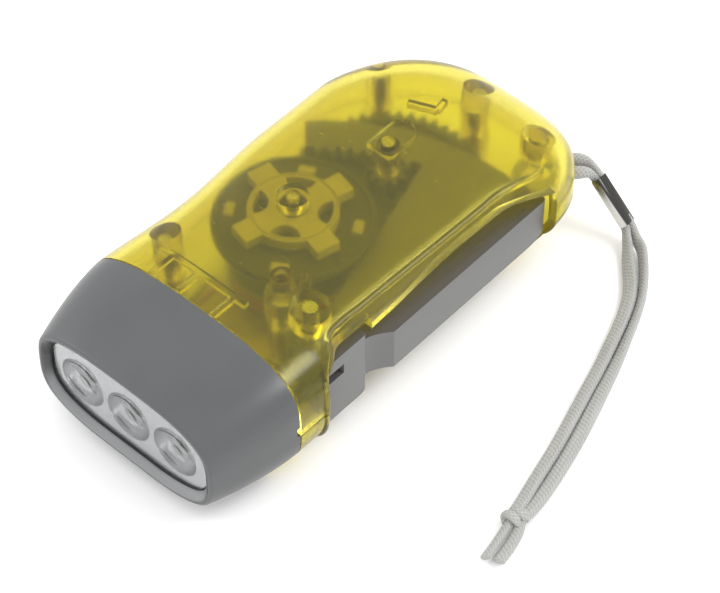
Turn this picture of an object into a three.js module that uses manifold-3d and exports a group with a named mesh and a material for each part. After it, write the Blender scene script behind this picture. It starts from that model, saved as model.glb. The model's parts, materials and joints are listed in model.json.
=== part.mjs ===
// A squeeze-lever dynamo torch lying flat: lamp end towards -Y, squeeze lever on the +X side,
// wrist strap at the tail.
// Millimetres, +Z up. The floor is z = 0 and the two housing halves meet at half the thickness.
import * as THREE from 'three';
import { mergeVertices } from 'three/addons/utils/BufferGeometryUtils.js';
import Module from 'manifold-3d';

const wasm = await Module();
wasm.setup();

// Housing
const bodyLength = 105;
const bodyWidth = 55;
const bodyThickness = 29.4;
const headLength = 17.8;
const wall = 1.8;
const clearance = 0.3;
const overrun = 2;
const upperLeftPower = 3.3;
const lowerLeftPower = 4;
const lowerRightPower = 2.5;
const collarPower = 4.1;
const lipPower = 8.4;
const flatShare = 0.984;
const seamGap = 0.3;

// Plan outline of the housing
const waistDepth = 1.6;
const waistAlong = 38.5;
const waistReach = 24;
const leftInset = 0.8;
const collarInset = 1.5;
const recessDepth = 3.5;
const recessStart = 26.1;
const recessFrontRamp = 5.6;
const recessEnd = 89;
const recessBackRamp = 13;
const leftTailRound = 25.9;
const rightTailRound = 19;
const tailCrown = 17;
const leftTailPower = 1.6;
const rightTailPower = 2.7;
const crownPower = 2.2;
const tailEndShare = 0.985;

// Lamp head
const rimWidth = 43.4;
const rimHeight = 22.6;
const rimPower = 3.2;
const rimLean = 0.5;
const rimForward = 1.25;
const rimRise = 0.8;
const jointBow = 1.2;
const headWall = 2.5;
const headFlarePower = 1.5;
const spigotLength = 4;
const spigotWall = 1.5;

// Reflector, lamps and window
const lensSetBack = 1.6;
const lensThickness = 1.4;
const reflectorDepth = 8.4;
const ledSpacing = 12.5;
const ledCount = 3;
const ledRadius = 2.5;
const ledLength = 8.6;
const ledFlange = 0.5;
const ledFlangeHeight = 1;
const cupRadius = 5.9;
const boardThickness = 1.2;
const boardWidth = 34;
const boardHeight = 12.6;

// Squeeze lever, measured from its pivot
const pivotX = 14.3;
const pivotAlong = 33;
const pivotPinRadius = 1.5;
const leverBossRadius = 4.6;
const blockReach = 7.9;
const blockFront = 2.9;
const blockBack = 4;
const blockHeight = 16.4;
const blockRound = 1.2;
const neckReach = 6.2;
const neckInner = 3.9;
const gripReach = 10.8;
const gripStart = 10.5;
const gripEnd = 54;
const gripHeight = 10.2;
const gripDepth = 3;
const gripEndRound = 2.4;
const webThickness = 3;
const webEdgeAngle = 105.5;
const notchDepth = 3.4;
const notchHeight = 2.5;
const notchWidth = 1.6;

// Gear train
const gearModule = 0.8;
const rackTeeth = 118;
const pinionTeeth = 9;
const driveTeeth = 48;
const pressureAngle = 25;
const toothShare = 0.46;
const addendumShare = 0.8;
const dedendumShare = 1;
const rackEndAngle = 134;
const rackAngle = 112.5;
const rackArmWidth = 7;
const flywheelAngle = -100.3;
const gearThickness = 2.6;
const gearWebCut = 0.8;
const pinionOverlap = 0.3;
const axleRadius = 1.2;
const axleBossRadius = 3;

// Generator on the flywheel's shaft
const statorRadius = 13.6;
const statorBore = 7;
const statorHeight = 8;
const statorPlate = 1;
const statorLift = 2;
const clawCount = 8;
const clawThickness = 0.7;
const clawWidth = 2.2;
const spoolWall = 0.8;
const windingDepth = 3.6;
const magnetRadius = 6.4;
const shaftRadius = 1;
const ratchetRadius = 5.4;
const ratchetTeeth = 12;
const ratchetDepth = 0.8;
const ratchetThickness = 2.6;
const pawlRingRadius = 9.8;
const pawlRingWall = 1.4;
const pawlThickness = 1.1;
const pawlCount = 2;

// Flywheel
const flywheelRadius = 15.5;
const flywheelThickness = 1.8;
const flywheelHub = 2.5;
const spiderRing = 8.8;
const spiderRingWidth = 1.1;
const spiderReach = 12.1;
const spiderArmWidth = 5;
const spiderThickness = 2.4;
const spiderArms = 4;
const spiderAngle = -14;
const moonRadius = 3;
const slotRadius = 12.5;
const slotLength = 3.6;
const slotWidth = 2.2;

// Bosses, screws and ribs
const screwRadius = 1.1;
const screwHeadRadius = 2.1;
const screwHeadHeight = 1.6;
const screwSeatDepth = 4;
const screwBite = 6;
const screwBoss = 2.9;
const frontPost = { x: 5.3, along: 35.1 };
const leftPost = { x: -18.9, along: 29.6 };
const tailPost = { x: -0.1, fromTail: 8.1 };
const rearPost = { x: -19, fromTail: 15.4 };
const smallPost = { x: 9, along: 37.4, radius: 1.1 };
const strapPost = { x: 16.7, fromTail: 10.3, radius: 1.6 };
const pivotBoss = 3.9;
const shaftBoss = 3.2;
const ribThickness = 1.2;
const ribDrop = 6;
const tabWidth = 5.4;
const tabLength = 9;

// Return spring in a pocket of the lever, round its hub
const springWire = 0.7;
const springPitch = 1.25;
const springTurns = 3.25;
const springLeg = 5;
const springHubWall = 0.8;
const pocketLift = 2;
const springSteps = 8;
const springSides = 5;

// Lock slide beside the lever's front block
const lockWidth = 1;
const lockHeight = 1.9;
const lockLength = 10.4;
const lockRise = 4;

// Wires and wrist strap
const wireRadius = 0.5;
const strandRadius = 1.15;
const loopRadius = 1.1;
const clipWidth = 5.8;
const clipHeight = 3.2;
const clipWall = 0.4;
const knotRadius = 3.1;
const knotLength = 6.4;
const cordSides = 8;

// How finely round things are faceted
const ringPoints = 32;
const roundSides = 20;
const smallSides = 10;

// Places worked out from the sizes
const halfWidth = bodyWidth / 2;
const midZ = bodyThickness / 2;
const frontY = -bodyLength / 2;
const tailY = bodyLength / 2;
const jointY = frontY + headLength;
const pivot = new THREE.Vector2(pivotX, frontY + pivotAlong);
const gearPitch = (teeth) => (gearModule * teeth) / 2;
const gearAxis = polar(pivot, gearPitch(rackTeeth) - gearPitch(pinionTeeth), rackAngle);
const shaftAxis = polar(gearAxis, gearPitch(driveTeeth) + gearPitch(pinionTeeth), flywheelAngle);

const lockX = pivot.x + blockReach - notchWidth / 2 + lockWidth / 4;

// Heights of the stacked mechanism, from the floor of the housing upwards
const seatZ = wall + statorLift;
const statorLow = seatZ + clearance;
const statorHigh = statorLow + statorHeight;
const gearLow = statorHigh + 2.5 * clearance;
const gearHigh = gearLow + gearThickness;
const webLow = gearHigh + 2 * clearance;
const webHigh = webLow + webThickness;
const ratchetHigh = gearHigh + ratchetThickness;
const discLow = webHigh + 2.5 * clearance;
const discHigh = discLow + flywheelThickness;
const spiderLow = discHigh + clearance;
const spiderHigh = spiderLow + spiderThickness;
const roofZ = bodyThickness - wall;

function polar(centre, radius, degrees) {
  const turn = THREE.MathUtils.degToRad(degrees);
  return new THREE.Vector2(centre.x + radius * Math.cos(turn), centre.y + radius * Math.sin(turn));
}

function flatPoint([radius, turn]) {
  return new THREE.Vector2(radius * Math.cos(turn), radius * Math.sin(turn));
}

// Closed meshes as solids for joining and cutting
function solid(geometry) {
  const bare = new THREE.BufferGeometry();
  bare.setAttribute('position', geometry.getAttribute('position'));
  if (geometry.index) bare.setIndex(geometry.index);
  const merged = mergeVertices(bare);
  const corners = [];
  for (let i = 0; i < merged.index.count; i += 3) {
    const [a, b, c] = [0, 1, 2].map((k) => merged.index.getX(i + k));
    if (a !== b && b !== c && c !== a) corners.push(a, b, c);
  }
  return new wasm.Manifold(new wasm.Mesh({
    numProp: 3,
    vertProperties: new Float32Array(merged.getAttribute('position').array),
    triVerts: new Uint32Array(corners),
  }));
}

function shapeOf(whole) {
  const mesh = whole.getMesh();
  const geometry = new THREE.BufferGeometry();
  geometry.setAttribute('position', new THREE.BufferAttribute(mesh.vertProperties, mesh.numProp));
  geometry.setIndex(new THREE.BufferAttribute(mesh.triVerts, 1));
  geometry.computeVertexNormals();
  return geometry;
}

const join = (solids) => solids.reduce((sum, next) => sum.add(next));

// Plain solids, each between two heights
function cylinder(radius, low, high, centre = new THREE.Vector2(), sides = roundSides) {
  const geometry = new THREE.CylinderGeometry(radius, radius, high - low, sides);
  geometry.rotateX(Math.PI / 2);
  return solid(geometry.translate(centre.x, centre.y, (low + high) / 2));
}

function box(fromX, toX, fromY, toY, low, high) {
  const geometry = new THREE.BoxGeometry(toX - fromX, toY - fromY, high - low);
  return solid(geometry.translate((fromX + toX) / 2, (fromY + toY) / 2, (low + high) / 2));
}

function plate(outline, low, high) {
  const shape = outline instanceof THREE.Shape ? outline : new THREE.Shape(outline);
  const options = { depth: high - low, bevelEnabled: false, curveSegments: smallSides };
  const geometry = new THREE.ExtrudeGeometry(shape, options);
  return solid(geometry.translate(0, 0, low));
}

function collar(outer, inner, low, high, centre, sides = roundSides) {
  return cylinder(outer, low, high, centre, sides)
    .subtract(cylinder(inner, low - overrun, high + overrun, centre, sides));
}

// A straight rib between two plan points
function rib(from, to, low, high, thickness = ribThickness) {
  const along = new THREE.Vector2().subVectors(to, from);
  const geometry = new THREE.BoxGeometry(along.length(), thickness, high - low);
  geometry.rotateZ(along.angle());
  return solid(geometry.translate((from.x + to.x) / 2, (from.y + to.y) / 2, (low + high) / 2));
}

// Skin over a row of rings with equal numbers of points
function skin(rings) {
  const count = rings[0].length;
  const positions = rings.flat().flatMap((p) => [p.x, p.y, p.z]);
  const corners = [];
  for (let j = 0; j < rings.length - 1; j += 1) {
    for (let i = 0; i < count; i += 1) {
      const next = (i + 1) % count;
      const [a, b, c, d] = [j * count + i, (j + 1) * count + i, j * count + next, (j + 1) * count + next];
      corners.push(a, b, c, c, b, d);
    }
  }
  for (const [ring, turned] of [[0, false], [rings.length - 1, true]]) {
    const middle = rings[ring].reduce((sum, p) => sum.add(p), new THREE.Vector3()).divideScalar(count);
    const centre = positions.length / 3;
    positions.push(middle.x, middle.y, middle.z);
    for (let i = 0; i < count; i += 1) {
      const pair = [ring * count + i, ring * count + ((i + 1) % count)];
      corners.push(centre, ...(turned ? pair.reverse() : pair));
    }
  }
  const geometry = new THREE.BufferGeometry();
  geometry.setAttribute('position', new THREE.Float32BufferAttribute(positions, 3));
  geometry.setIndex(corners);
  return solid(geometry);
}

// One ring of the form. Each quarter has its own power, from the upper right round to the lower right.
function sectionRing(y, size, inset = 0, moveY = () => 0) {
  return Array.from({ length: ringPoints }, (_, i) => {
    const turn = (2 * Math.PI * i) / ringPoints;
    const power = size.powers[Math.min(3, Math.floor((4 * i) / ringPoints))];
    const across = Math.sign(Math.cos(turn)) * Math.abs(Math.cos(turn)) ** (2 / power);
    const round = Math.sign(Math.sin(turn)) * Math.abs(Math.sin(turn)) ** (2 / power);
    const up = round < 0 ? Math.max(round, -flatShare) / flatShare : round;
    const x = across * ((across > 0 ? size.right : size.left) - inset);
    return new THREE.Vector3(x, y + moveY(across, up), (size.middle ?? midZ) + up * (size.half - inset));
  });
}

// The front edge of the shells bows back over the top of the head
const bowBack = (across, up) => jointBow * (1 - across * across) * Math.max(0, up);

function smooth(from, to, value) {
  return THREE.MathUtils.smoothstep(value, from, to);
}

function spread(from, to, parts) {
  return Array.from({ length: parts }, (_, i) => from + ((to - from) * i) / parts);
}

// Half sizes of the housing at a place along its length
function housingSection(y) {
  const along = y - frontY;
  const fromWaist = Math.min(1, Math.abs(along - waistAlong) / waistReach);
  const waist = (waistDepth * (1 + Math.cos(Math.PI * fromWaist))) / 2;
  const ramp = smooth(recessStart, recessStart + recessFrontRamp, along)
    - smooth(recessEnd - recessBackRamp, recessEnd, along);
  const inset = collarInset * (1 - smooth(headLength, recessEnd, along));
  const roundLength = (length) => Math.max(0, (y - (tailY - length)) / length) * tailEndShare;
  const fade = (length, power) => (1 - roundLength(length) ** power) ** (1 / power);
  return {
    left: (halfWidth - leftInset - waist) * fade(leftTailRound, leftTailPower),
    right: (halfWidth - inset - recessDepth * ramp) * fade(rightTailRound, rightTailPower),
    half: midZ * fade(tailCrown, crownPower),
    powers: [
      THREE.MathUtils.lerp(collarPower, lipPower, ramp), upperLeftPower, lowerLeftPower, lowerRightPower,
    ],
  };
}

function housingStations() {
  const rampFront = frontY + recessStart;
  const rampBack = frontY + recessEnd - recessBackRamp;
  const stations = [
    ...spread(jointY, rampFront, 2),
    ...spread(rampFront, rampFront + recessFrontRamp, 3),
    ...spread(rampFront + recessFrontRamp, rampBack, 6),
    ...spread(rampBack, rampBack + recessBackRamp, 3),
  ];
  const roundParts = 6;
  const start = stations.at(-1);
  for (let i = 1; i <= roundParts; i += 1) {
    stations.push(start + (tailY - start) * Math.sin((Math.PI / 2) * (i / roundParts)));
  }
  return stations;
}

// The housing's outer form, drawn in by an inset on every side but the open front
function housing(inset = 0, frontOverrun = 0) {
  const shrink = (tailY - inset - jointY) / (tailY - jointY);
  const rings = housingStations().map((y, index) => {
    const place = jointY + (y - jointY) * shrink - (index === 0 ? frontOverrun : 0);
    return sectionRing(place, housingSection(y), inset, index === 0 ? bowBack : undefined);
  });
  return skin(rings);
}

const outerHousing = housing();
const innerHousing = housing(wall, overrun);
const housingCore = housing(wall / 2);

// Openings for the lever, its front block and the strap
function leverOpening() {
  const gapZ = 2.5 * clearance;
  const slotHalf = gripHeight / 2 + gapZ;
  const blockHalf = blockHeight / 2 + gapZ;
  const inside = pivot.x + blockFront;
  const outside = halfWidth + overrun;
  const gripBack = pivot.y + Math.hypot(gripReach, gripEnd) + 2 * clearance;
  const front = pivot.y + blockFront - Math.hypot(blockReach, blockFront);
  const blockTail = pivot.y + blockBack + 2 * clearance;
  return join([
    box(inside, outside, front, gripBack, midZ - slotHalf, midZ + slotHalf),
    box(inside, outside, front, blockTail, midZ - blockHalf, midZ + blockHalf),
  ]);
}

const strapHoleWidth = 4 * loopRadius + 6 * clearance;
const strapHoleHeight = 2 * loopRadius + 4 * clearance;
const strapPlace = new THREE.Vector2(strapPost.x, tailY - strapPost.fromTail);

// The hole points from the post towards where the cord leaves
function strapLean() {
  const [left, right] = [loopLeft[0], loopRight[0]];
  const middle = new THREE.Vector2(left[0] + right[0], left[1] + right[1]).divideScalar(2);
  return Math.atan2(middle.x - strapPlace.x, middle.y - strapPlace.y);
}

function strapHole() {
  const geometry = new THREE.BoxGeometry(strapHoleWidth, rightTailRound, strapHoleHeight);
  geometry.translate(0, rightTailRound / 2, 0).rotateZ(-strapLean());
  return solid(geometry.translate(strapPlace.x, strapPlace.y, midZ));
}

const at = (post) => new THREE.Vector2(post.x, post.fromTail ? tailY - post.fromTail : frontY + post.along);
const screwPosts = [frontPost, leftPost, tailPost, rearPost].map(at);
const topSplit = midZ + seamGap / 2;
const bottomSplit = midZ - seamGap / 2;

function halfSpace(low, high) {
  return box(-bodyWidth, bodyWidth, -bodyLength, bodyLength, low, high);
}

function tabOutline() {
  const half = tabWidth / 2;
  const shape = new THREE.Shape();
  shape.absarc(gearAxis.x, gearAxis.y + tabLength - 2 * half, half, 0, Math.PI);
  shape.lineTo(gearAxis.x - half, gearAxis.y - half);
  shape.lineTo(gearAxis.x + half, gearAxis.y - half);
  return shape;
}

function topBosses() {
  const vee = new THREE.Vector2(gearAxis.x + tabWidth / 4, tailY - rightTailRound);
  const veeArm = (degrees, length) => rib(vee, polar(vee, length, degrees), roofZ - ribDrop, bodyThickness);
  const frontRibY = jointY + 2 * spigotLength;
  const frontRib = (x) => rib(
    new THREE.Vector2(x, jointY + spigotLength + 2 * clearance),
    new THREE.Vector2(x, frontRibY),
    roofZ - ribDrop / 2,
    bodyThickness,
  );
  return [
    ...screwPosts.map((post) => cylinder(screwBoss, topSplit, bodyThickness, post)),
    cylinder(shaftBoss, spiderHigh + 3 * clearance, bodyThickness, shaftAxis),
    cylinder(pivotBoss, midZ + blockHeight / 2 + clearance, bodyThickness, pivot),
    plate(tabOutline(), webHigh + 2 * clearance, bodyThickness - clearance),
    cylinder(smallPost.radius, roofZ - ribDrop, bodyThickness, at(smallPost), smallSides),
    cylinder(
      strapPost.radius + clearance + ribThickness, midZ + ribDrop, bodyThickness, strapPlace, smallSides,
    ),
    veeArm(spiderAngle + 216, (2 * tabLength) / 3),
    veeArm(spiderAngle + 114, tabLength / 3),
    rib(
      polar(at(rearPost), screwBoss, 80), polar(at(rearPost), 3 * screwBoss, 35),
      roofZ - ribDrop, bodyThickness,
    ),
    rib(
      new THREE.Vector2(leftPost.x, frontRibY),
      new THREE.Vector2(frontPost.x, frontRibY),
      roofZ - ribDrop / 2,
      bodyThickness,
    ),
    ...[leftPost.x + 2 * screwBoss, leftPost.x / 3, frontPost.x - screwBoss].map(frontRib),
    ...lockRails(),
  ];
}

// Two rails beside the block carry the lock slide
function lockRails() {
  const low = midZ + lockRise - lockHeight / 2 - clearance;
  const high = low + lockHeight + 2 * clearance;
  const from = jointY + spigotLength + 2 * clearance;
  const to = frontY + recessStart;
  return [[low - ribThickness, low], [high, high + ribThickness]]
    .map(([bottom, top]) => box(lockX - lockWidth / 2, halfWidth, from, to, bottom, top));
}

function topShell() {
  const bosses = join(topBosses()).intersect(housingCore);
  const holes = join([
    ...screwPosts.map((post) => cylinder(
      screwRadius + clearance, topSplit - overrun, midZ + screwBite + clearance, post, smallSides)),
    cylinder(shaftRadius + clearance, spiderHigh, roofZ + clearance, shaftAxis, smallSides),
    cylinder(pivotPinRadius + clearance, midZ, roofZ + clearance, pivot, smallSides),
    cylinder(axleRadius + clearance, webHigh, roofZ - clearance, gearAxis, smallSides),
    cylinder(strapPost.radius + clearance, midZ, roofZ - overrun, strapPlace, smallSides),
    leverOpening(),
    strapHole(),
  ]);
  return outerHousing.subtract(innerHousing).add(bosses).subtract(holes)
    .intersect(halfSpace(topSplit, bodyThickness + overrun));
}

function bottomBosses() {
  const pinBossHigh = midZ - blockHeight / 2 - clearance;
  return [
    ...screwPosts.map((post) => cylinder(screwBoss, 0, bottomSplit, post)),
    collar(statorRadius - statorPlate, statorRadius - 3 * statorPlate, 0, seatZ, shaftAxis),
    cylinder(shaftBoss, 0, seatZ, shaftAxis),
    cylinder(axleBossRadius, 0, gearLow - clearance, gearAxis),
    cylinder(pivotBoss, 0, pinBossHigh, pivot),
  ];
}

function bottomShell() {
  const bosses = join(bottomBosses()).intersect(housingCore);
  const pinSeat = wall - 2 * clearance;
  const holes = join([
    ...screwPosts.flatMap((post) => [
      cylinder(screwRadius + clearance, -overrun, midZ, post, smallSides),
      cylinder(screwHeadRadius + clearance, -overrun, screwSeatDepth, post, smallSides),
    ]),
    cylinder(shaftRadius + clearance, pinSeat, statorLow, shaftAxis, smallSides),
    cylinder(pivotPinRadius + clearance, seatZ - clearance, midZ, pivot, smallSides),
    cylinder(axleRadius + clearance, pinSeat, gearLow, gearAxis, smallSides),
    leverOpening(),
  ]);
  const postGuard = cylinder(strapPost.radius, 0, midZ + ribDrop + 2 * clearance, strapPlace, smallSides)
    .intersect(housingCore);
  return outerHousing.subtract(innerHousing).subtract(strapHole()).add(bosses).subtract(holes)
    .intersect(halfSpace(-overrun, bottomSplit)).add(postGuard);
}

// Lamp head: a flared tube whose rim leans back a little at the top
const rimHalfWidth = rimWidth / 2;
const rimHalfHeight = rimHeight / 2;
const lensFrontY = frontY + lensSetBack;
const lampZ = midZ + rimRise;

function headRing(flare, inset, y) {
  const joint = housingSection(jointY);
  const mix = (from, to) => THREE.MathUtils.lerp(from, to, flare ** headFlarePower);
  const size = {
    left: mix(joint.left, rimHalfWidth),
    right: mix(joint.right, rimHalfWidth),
    half: mix(midZ, rimHalfHeight),
    middle: mix(midZ, midZ + rimRise),
    powers: joint.powers.map((power) => mix(power, rimPower)),
  };
  const moveY = (across, up) => (1 - flare) * bowBack(across, up) + flare * ((up * rimLean) / 2 - rimForward);
  return sectionRing(y, size, inset, moveY);
}

const flareAt = (y) => THREE.MathUtils.clamp((jointY - y) / headLength, 0, 1);

function headLoft(fromY, toY, inset, parts) {
  return skin([...spread(fromY, toY, parts), toY].map((y) => headRing(flareAt(y), inset, y)));
}

function spigot(inset, frontOver) {
  const end = housingSection(jointY + spigotLength);
  return skin([jointY - frontOver, jointY + spigotLength].map((y) => sectionRing(y, end, inset)));
}

function headShell() {
  const outer = headLoft(frontY, jointY - seamGap, 0, 9);
  const tongue = spigot(wall + clearance, 1.5 * headWall).subtract(housingSideCut());
  const bore = headLoft(frontY - overrun, jointY - 1.5 * headWall, headWall, 6);
  const throat = spigotBore();
  return outer.add(tongue).subtract(bore).subtract(throat);
}

// The tongue stays clear of the lock slide's slot on the lever side
function housingSideCut() {
  const low = midZ + lockRise - lockHeight / 2 - clearance;
  const high = low + lockHeight + 2 * clearance;
  const left = lockX - lockWidth / 2 - clearance;
  return box(left, bodyWidth, jointY - clearance, jointY + 2 * spigotLength, low, high);
}

function spigotBore() {
  const end = housingSection(jointY + spigotLength);
  const inset = wall + clearance + spigotWall;
  const along = [jointY - 2 * headWall, jointY + spigotLength + overrun];
  return skin(along.map((y) => sectionRing(y, end, inset)));
}

function lens() {
  return headLoft(lensFrontY, lensFrontY + lensThickness, headWall + clearance, 2);
}

const reflectorFrontY = lensFrontY + lensThickness + clearance - rimForward;
const reflectorBackY = reflectorFrontY + reflectorDepth;
const ledPlaces = Array.from({ length: ledCount }, (_, i) => (i - (ledCount - 1) / 2) * ledSpacing);

// A round cutter or lamp along Y, open towards the front
function alongY(profile, x, sides) {
  return solid(new THREE.LatheGeometry(profile, sides).translate(x, 0, lampZ));
}

function reflector() {
  const back = reflectorBackY + rimForward + rimLean;
  const blank = headLoft(reflectorFrontY + rimForward, back, headWall + clearance, 3)
    .intersect(box(-halfWidth, halfWidth, frontY - overrun, reflectorBackY, 0, bodyThickness));
  const front = reflectorFrontY - rimLean;
  const holeRadius = ledRadius + clearance;
  const cups = ledPlaces.map((x) => {
    const curve = new THREE.QuadraticBezierCurve(
      new THREE.Vector2(holeRadius, reflectorBackY - wall),
      new THREE.Vector2(cupRadius, reflectorBackY - wall),
      new THREE.Vector2(cupRadius, reflectorFrontY),
    );
    const profile = [
      new THREE.Vector2(0, reflectorBackY + overrun),
      new THREE.Vector2(holeRadius, reflectorBackY + overrun),
      ...curve.getPoints(4),
      new THREE.Vector2(cupRadius, front),
      new THREE.Vector2(0, front),
    ];
    return alongY(profile.reverse(), x, roundSides);
  });
  return blank.subtract(join(cups));
}

function led(x) {
  const baseY = reflectorBackY + clearance + ledFlangeHeight;
  const domeY = baseY - ledLength + ledRadius;
  const dome = Array.from({ length: 5 }, (_, i) => {
    const turn = (Math.PI / 2) * (i / 4);
    return new THREE.Vector2(ledRadius * Math.sin(turn), domeY - ledRadius * Math.cos(turn));
  });
  const profile = [
    ...dome,
    new THREE.Vector2(ledRadius, baseY - ledFlangeHeight),
    new THREE.Vector2(ledRadius + ledFlange, baseY - ledFlangeHeight),
    new THREE.Vector2(ledRadius + ledFlange, baseY),
    new THREE.Vector2(0, baseY),
  ];
  return alongY(profile, x, smallSides);
}

const boardFrontY = reflectorBackY + 2 * clearance + ledFlangeHeight;

function ledBoard() {
  const [low, high] = [lampZ - boardHeight / 2, lampZ + boardHeight / 2];
  return box(-boardWidth / 2, boardWidth / 2, boardFrontY, boardFrontY + boardThickness, low, high);
}

// Involute teeth: the half angle of a tooth at a radius
function toothHalfAngle(teeth, share, radius) {
  const pitch = gearPitch(teeth);
  const pressure = THREE.MathUtils.degToRad(pressureAngle);
  const base = pitch * Math.cos(pressure);
  const involute = (angle) => Math.tan(angle) - angle;
  const here = Math.acos(Math.min(1, base / Math.max(radius, base)));
  return (share * Math.PI) / teeth + involute(pressure) - involute(here);
}

function flankRadii(root, tip) {
  const steps = 3;
  return Array.from({ length: steps }, (_, i) => root + ((tip - root) * i) / (steps - 1));
}

// Outline of an external gear with one tooth centred on a given direction
function gearOutline(teeth, degrees) {
  const pitch = gearPitch(teeth);
  const radii = flankRadii(pitch - dedendumShare * gearModule, pitch + addendumShare * gearModule);
  const first = THREE.MathUtils.degToRad(degrees);
  const points = [];
  for (let tooth = 0; tooth < teeth; tooth += 1) {
    const middle = first + (2 * Math.PI * tooth) / teeth;
    const up = radii.map((r) => [r, middle - toothHalfAngle(teeth, toothShare, r)]);
    const down = radii.map((r) => [r, middle + toothHalfAngle(teeth, toothShare, r)]).reverse();
    points.push(...[...up, ...down].map(flatPoint));
  }
  return points;
}

const rackOuter = gearPitch(rackTeeth) + dedendumShare * gearModule + rackArmWidth;

// Rack arm: a sector with internal teeth, centred on the lever's pivot
function rackOutline() {
  const pitch = gearPitch(rackTeeth);
  const radii = flankRadii(pitch + dedendumShare * gearModule, pitch - addendumShare * gearModule);
  const step = 360 / rackTeeth;
  const points = [];
  const firstTooth = Math.ceil((webEdgeAngle - rackAngle) / step + 1);
  const lastTooth = Math.floor((rackEndAngle - rackAngle) / step - 1);
  const space = 1 - toothShare;
  for (let tooth = firstTooth; tooth <= lastTooth; tooth += 1) {
    const middle = THREE.MathUtils.degToRad(rackAngle + tooth * step);
    const half = (r) => Math.PI / rackTeeth - toothHalfAngle(rackTeeth, space, r);
    const up = radii.map((r) => [r, middle - half(r)]);
    const down = radii.map((r) => [r, middle + half(r)]).reverse();
    points.push(...[...up, ...down].map(flatPoint));
  }
  const outerTurns = [...spread(rackEndAngle, webEdgeAngle - step, 10), webEdgeAngle - step];
  return [
    polar(new THREE.Vector2(), pitch + dedendumShare * gearModule, webEdgeAngle - step),
    ...points,
    polar(new THREE.Vector2(), pitch + dedendumShare * gearModule, rackEndAngle),
    ...outerTurns.map((degrees) => polar(new THREE.Vector2(), rackOuter, degrees)),
  ];
}

function webOutline() {
  const gripAngle = THREE.MathUtils.radToDeg(Math.atan2(gripEnd - gripEndRound, gripReach - gripDepth));
  const arc = [...spread(webEdgeAngle, gripAngle, 6), gripAngle]
    .map((degrees) => polar(new THREE.Vector2(), rackOuter, degrees));
  return [
    new THREE.Vector2(0, -leverBossRadius / 2),
    new THREE.Vector2(neckReach - ribThickness, 0),
    new THREE.Vector2(neckReach - ribThickness, gripStart),
    new THREE.Vector2(gripReach - ribThickness, gripStart + gripDepth),
    new THREE.Vector2(gripReach - ribThickness, gripEnd - gripEndRound),
    ...arc.reverse(),
    polar(new THREE.Vector2(), leverBossRadius, webEdgeAngle),
  ];
}

function gripOutline() {
  const shape = new THREE.Shape();
  shape.moveTo(neckInner, blockFront);
  shape.lineTo(neckReach, blockFront);
  shape.lineTo(neckReach, blockBack + (gripStart - blockBack) / 4);
  shape.quadraticCurveTo(
    neckReach, (blockBack + gripStart) / 2, (neckReach + gripReach) / 2, gripStart - gripDepth / 2,
  );
  shape.lineTo(gripReach, gripStart);
  shape.lineTo(gripReach, gripEnd - gripEndRound);
  shape.quadraticCurveTo(gripReach, gripEnd, gripReach - gripEndRound, gripEnd);
  shape.lineTo(gripReach - gripDepth, gripEnd);
  shape.lineTo(gripReach - gripDepth, gripStart + gripDepth);
  shape.lineTo(neckInner, gripStart);
  return shape;
}

function blockOutline() {
  const shape = new THREE.Shape();
  shape.moveTo(0, -blockFront);
  shape.lineTo(blockReach, -blockFront);
  shape.lineTo(blockReach, blockBack - blockRound);
  shape.quadraticCurveTo(blockReach, blockBack, blockReach - blockRound, blockBack);
  shape.lineTo(0, blockBack);
  return shape;
}

function squeezeLever() {
  const blockLow = midZ - blockHeight / 2;
  const blockHigh = midZ + blockHeight / 2;
  const notchLow = midZ + lockRise - notchHeight / 2;
  const body = join([
    cylinder(leverBossRadius, blockLow, blockHigh),
    plate(blockOutline(), blockLow, blockHigh),
    plate(gripOutline(), midZ - gripHeight / 2, midZ + gripHeight / 2),
    plate(webOutline(), webLow, webHigh),
    plate(rackOutline(), webLow, webHigh),
  ]);
  const outside = -leverBossRadius - overrun;
  const springPocket = box(outside, neckInner, outside, gripStart, pocketLow, pocketHigh)
    .subtract(cylinder(springHub, 0, bodyThickness));
  const lockNotch = box(blockReach - notchWidth, blockReach + overrun,
    -blockFront - overrun, notchDepth - blockFront, notchLow, notchLow + notchHeight);
  return body
    .subtract(springPocket)
    .subtract(cylinder(pivotPinRadius + clearance, 0, bodyThickness, new THREE.Vector2(), smallSides))
    .subtract(lockNotch);
}

function driveGear() {
  const toRack = rackAngle + 180 / pinionTeeth;
  const [rim, hub] = [gearPitch(driveTeeth) - 3 * gearModule, gearPitch(pinionTeeth) + 2 * gearModule];
  const webGroove = collar(rim, hub, gearHigh - gearWebCut, gearHigh + overrun);
  return plate(gearOutline(driveTeeth, flywheelAngle), gearLow, gearHigh)
    .subtract(webGroove)
    .add(plate(gearOutline(pinionTeeth, toRack), gearLow + pinionOverlap, webHigh + clearance))
    .subtract(
      cylinder(axleRadius + clearance, gearLow - overrun, webHigh + overrun, new THREE.Vector2(), smallSides),
    );
}

function ratchetPinion() {
  const towardsGear = flywheelAngle + 180 + 180 / pinionTeeth;
  const saw = Array.from({ length: ratchetTeeth * 2 }, (_, i) => polar(
    new THREE.Vector2(),
    i % 2 === 0 ? ratchetRadius : ratchetRadius - ratchetDepth,
    (360 / ratchetTeeth) * (Math.floor(i / 2) + (i % 2) / 5),
  ));
  return plate(gearOutline(pinionTeeth, towardsGear), gearLow, gearHigh + 2 * clearance)
    .add(plate(saw, gearHigh + clearance, ratchetHigh))
    .subtract(cylinder(shaftRadius + clearance, 0, bodyThickness, new THREE.Vector2(), smallSides));
}

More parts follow.
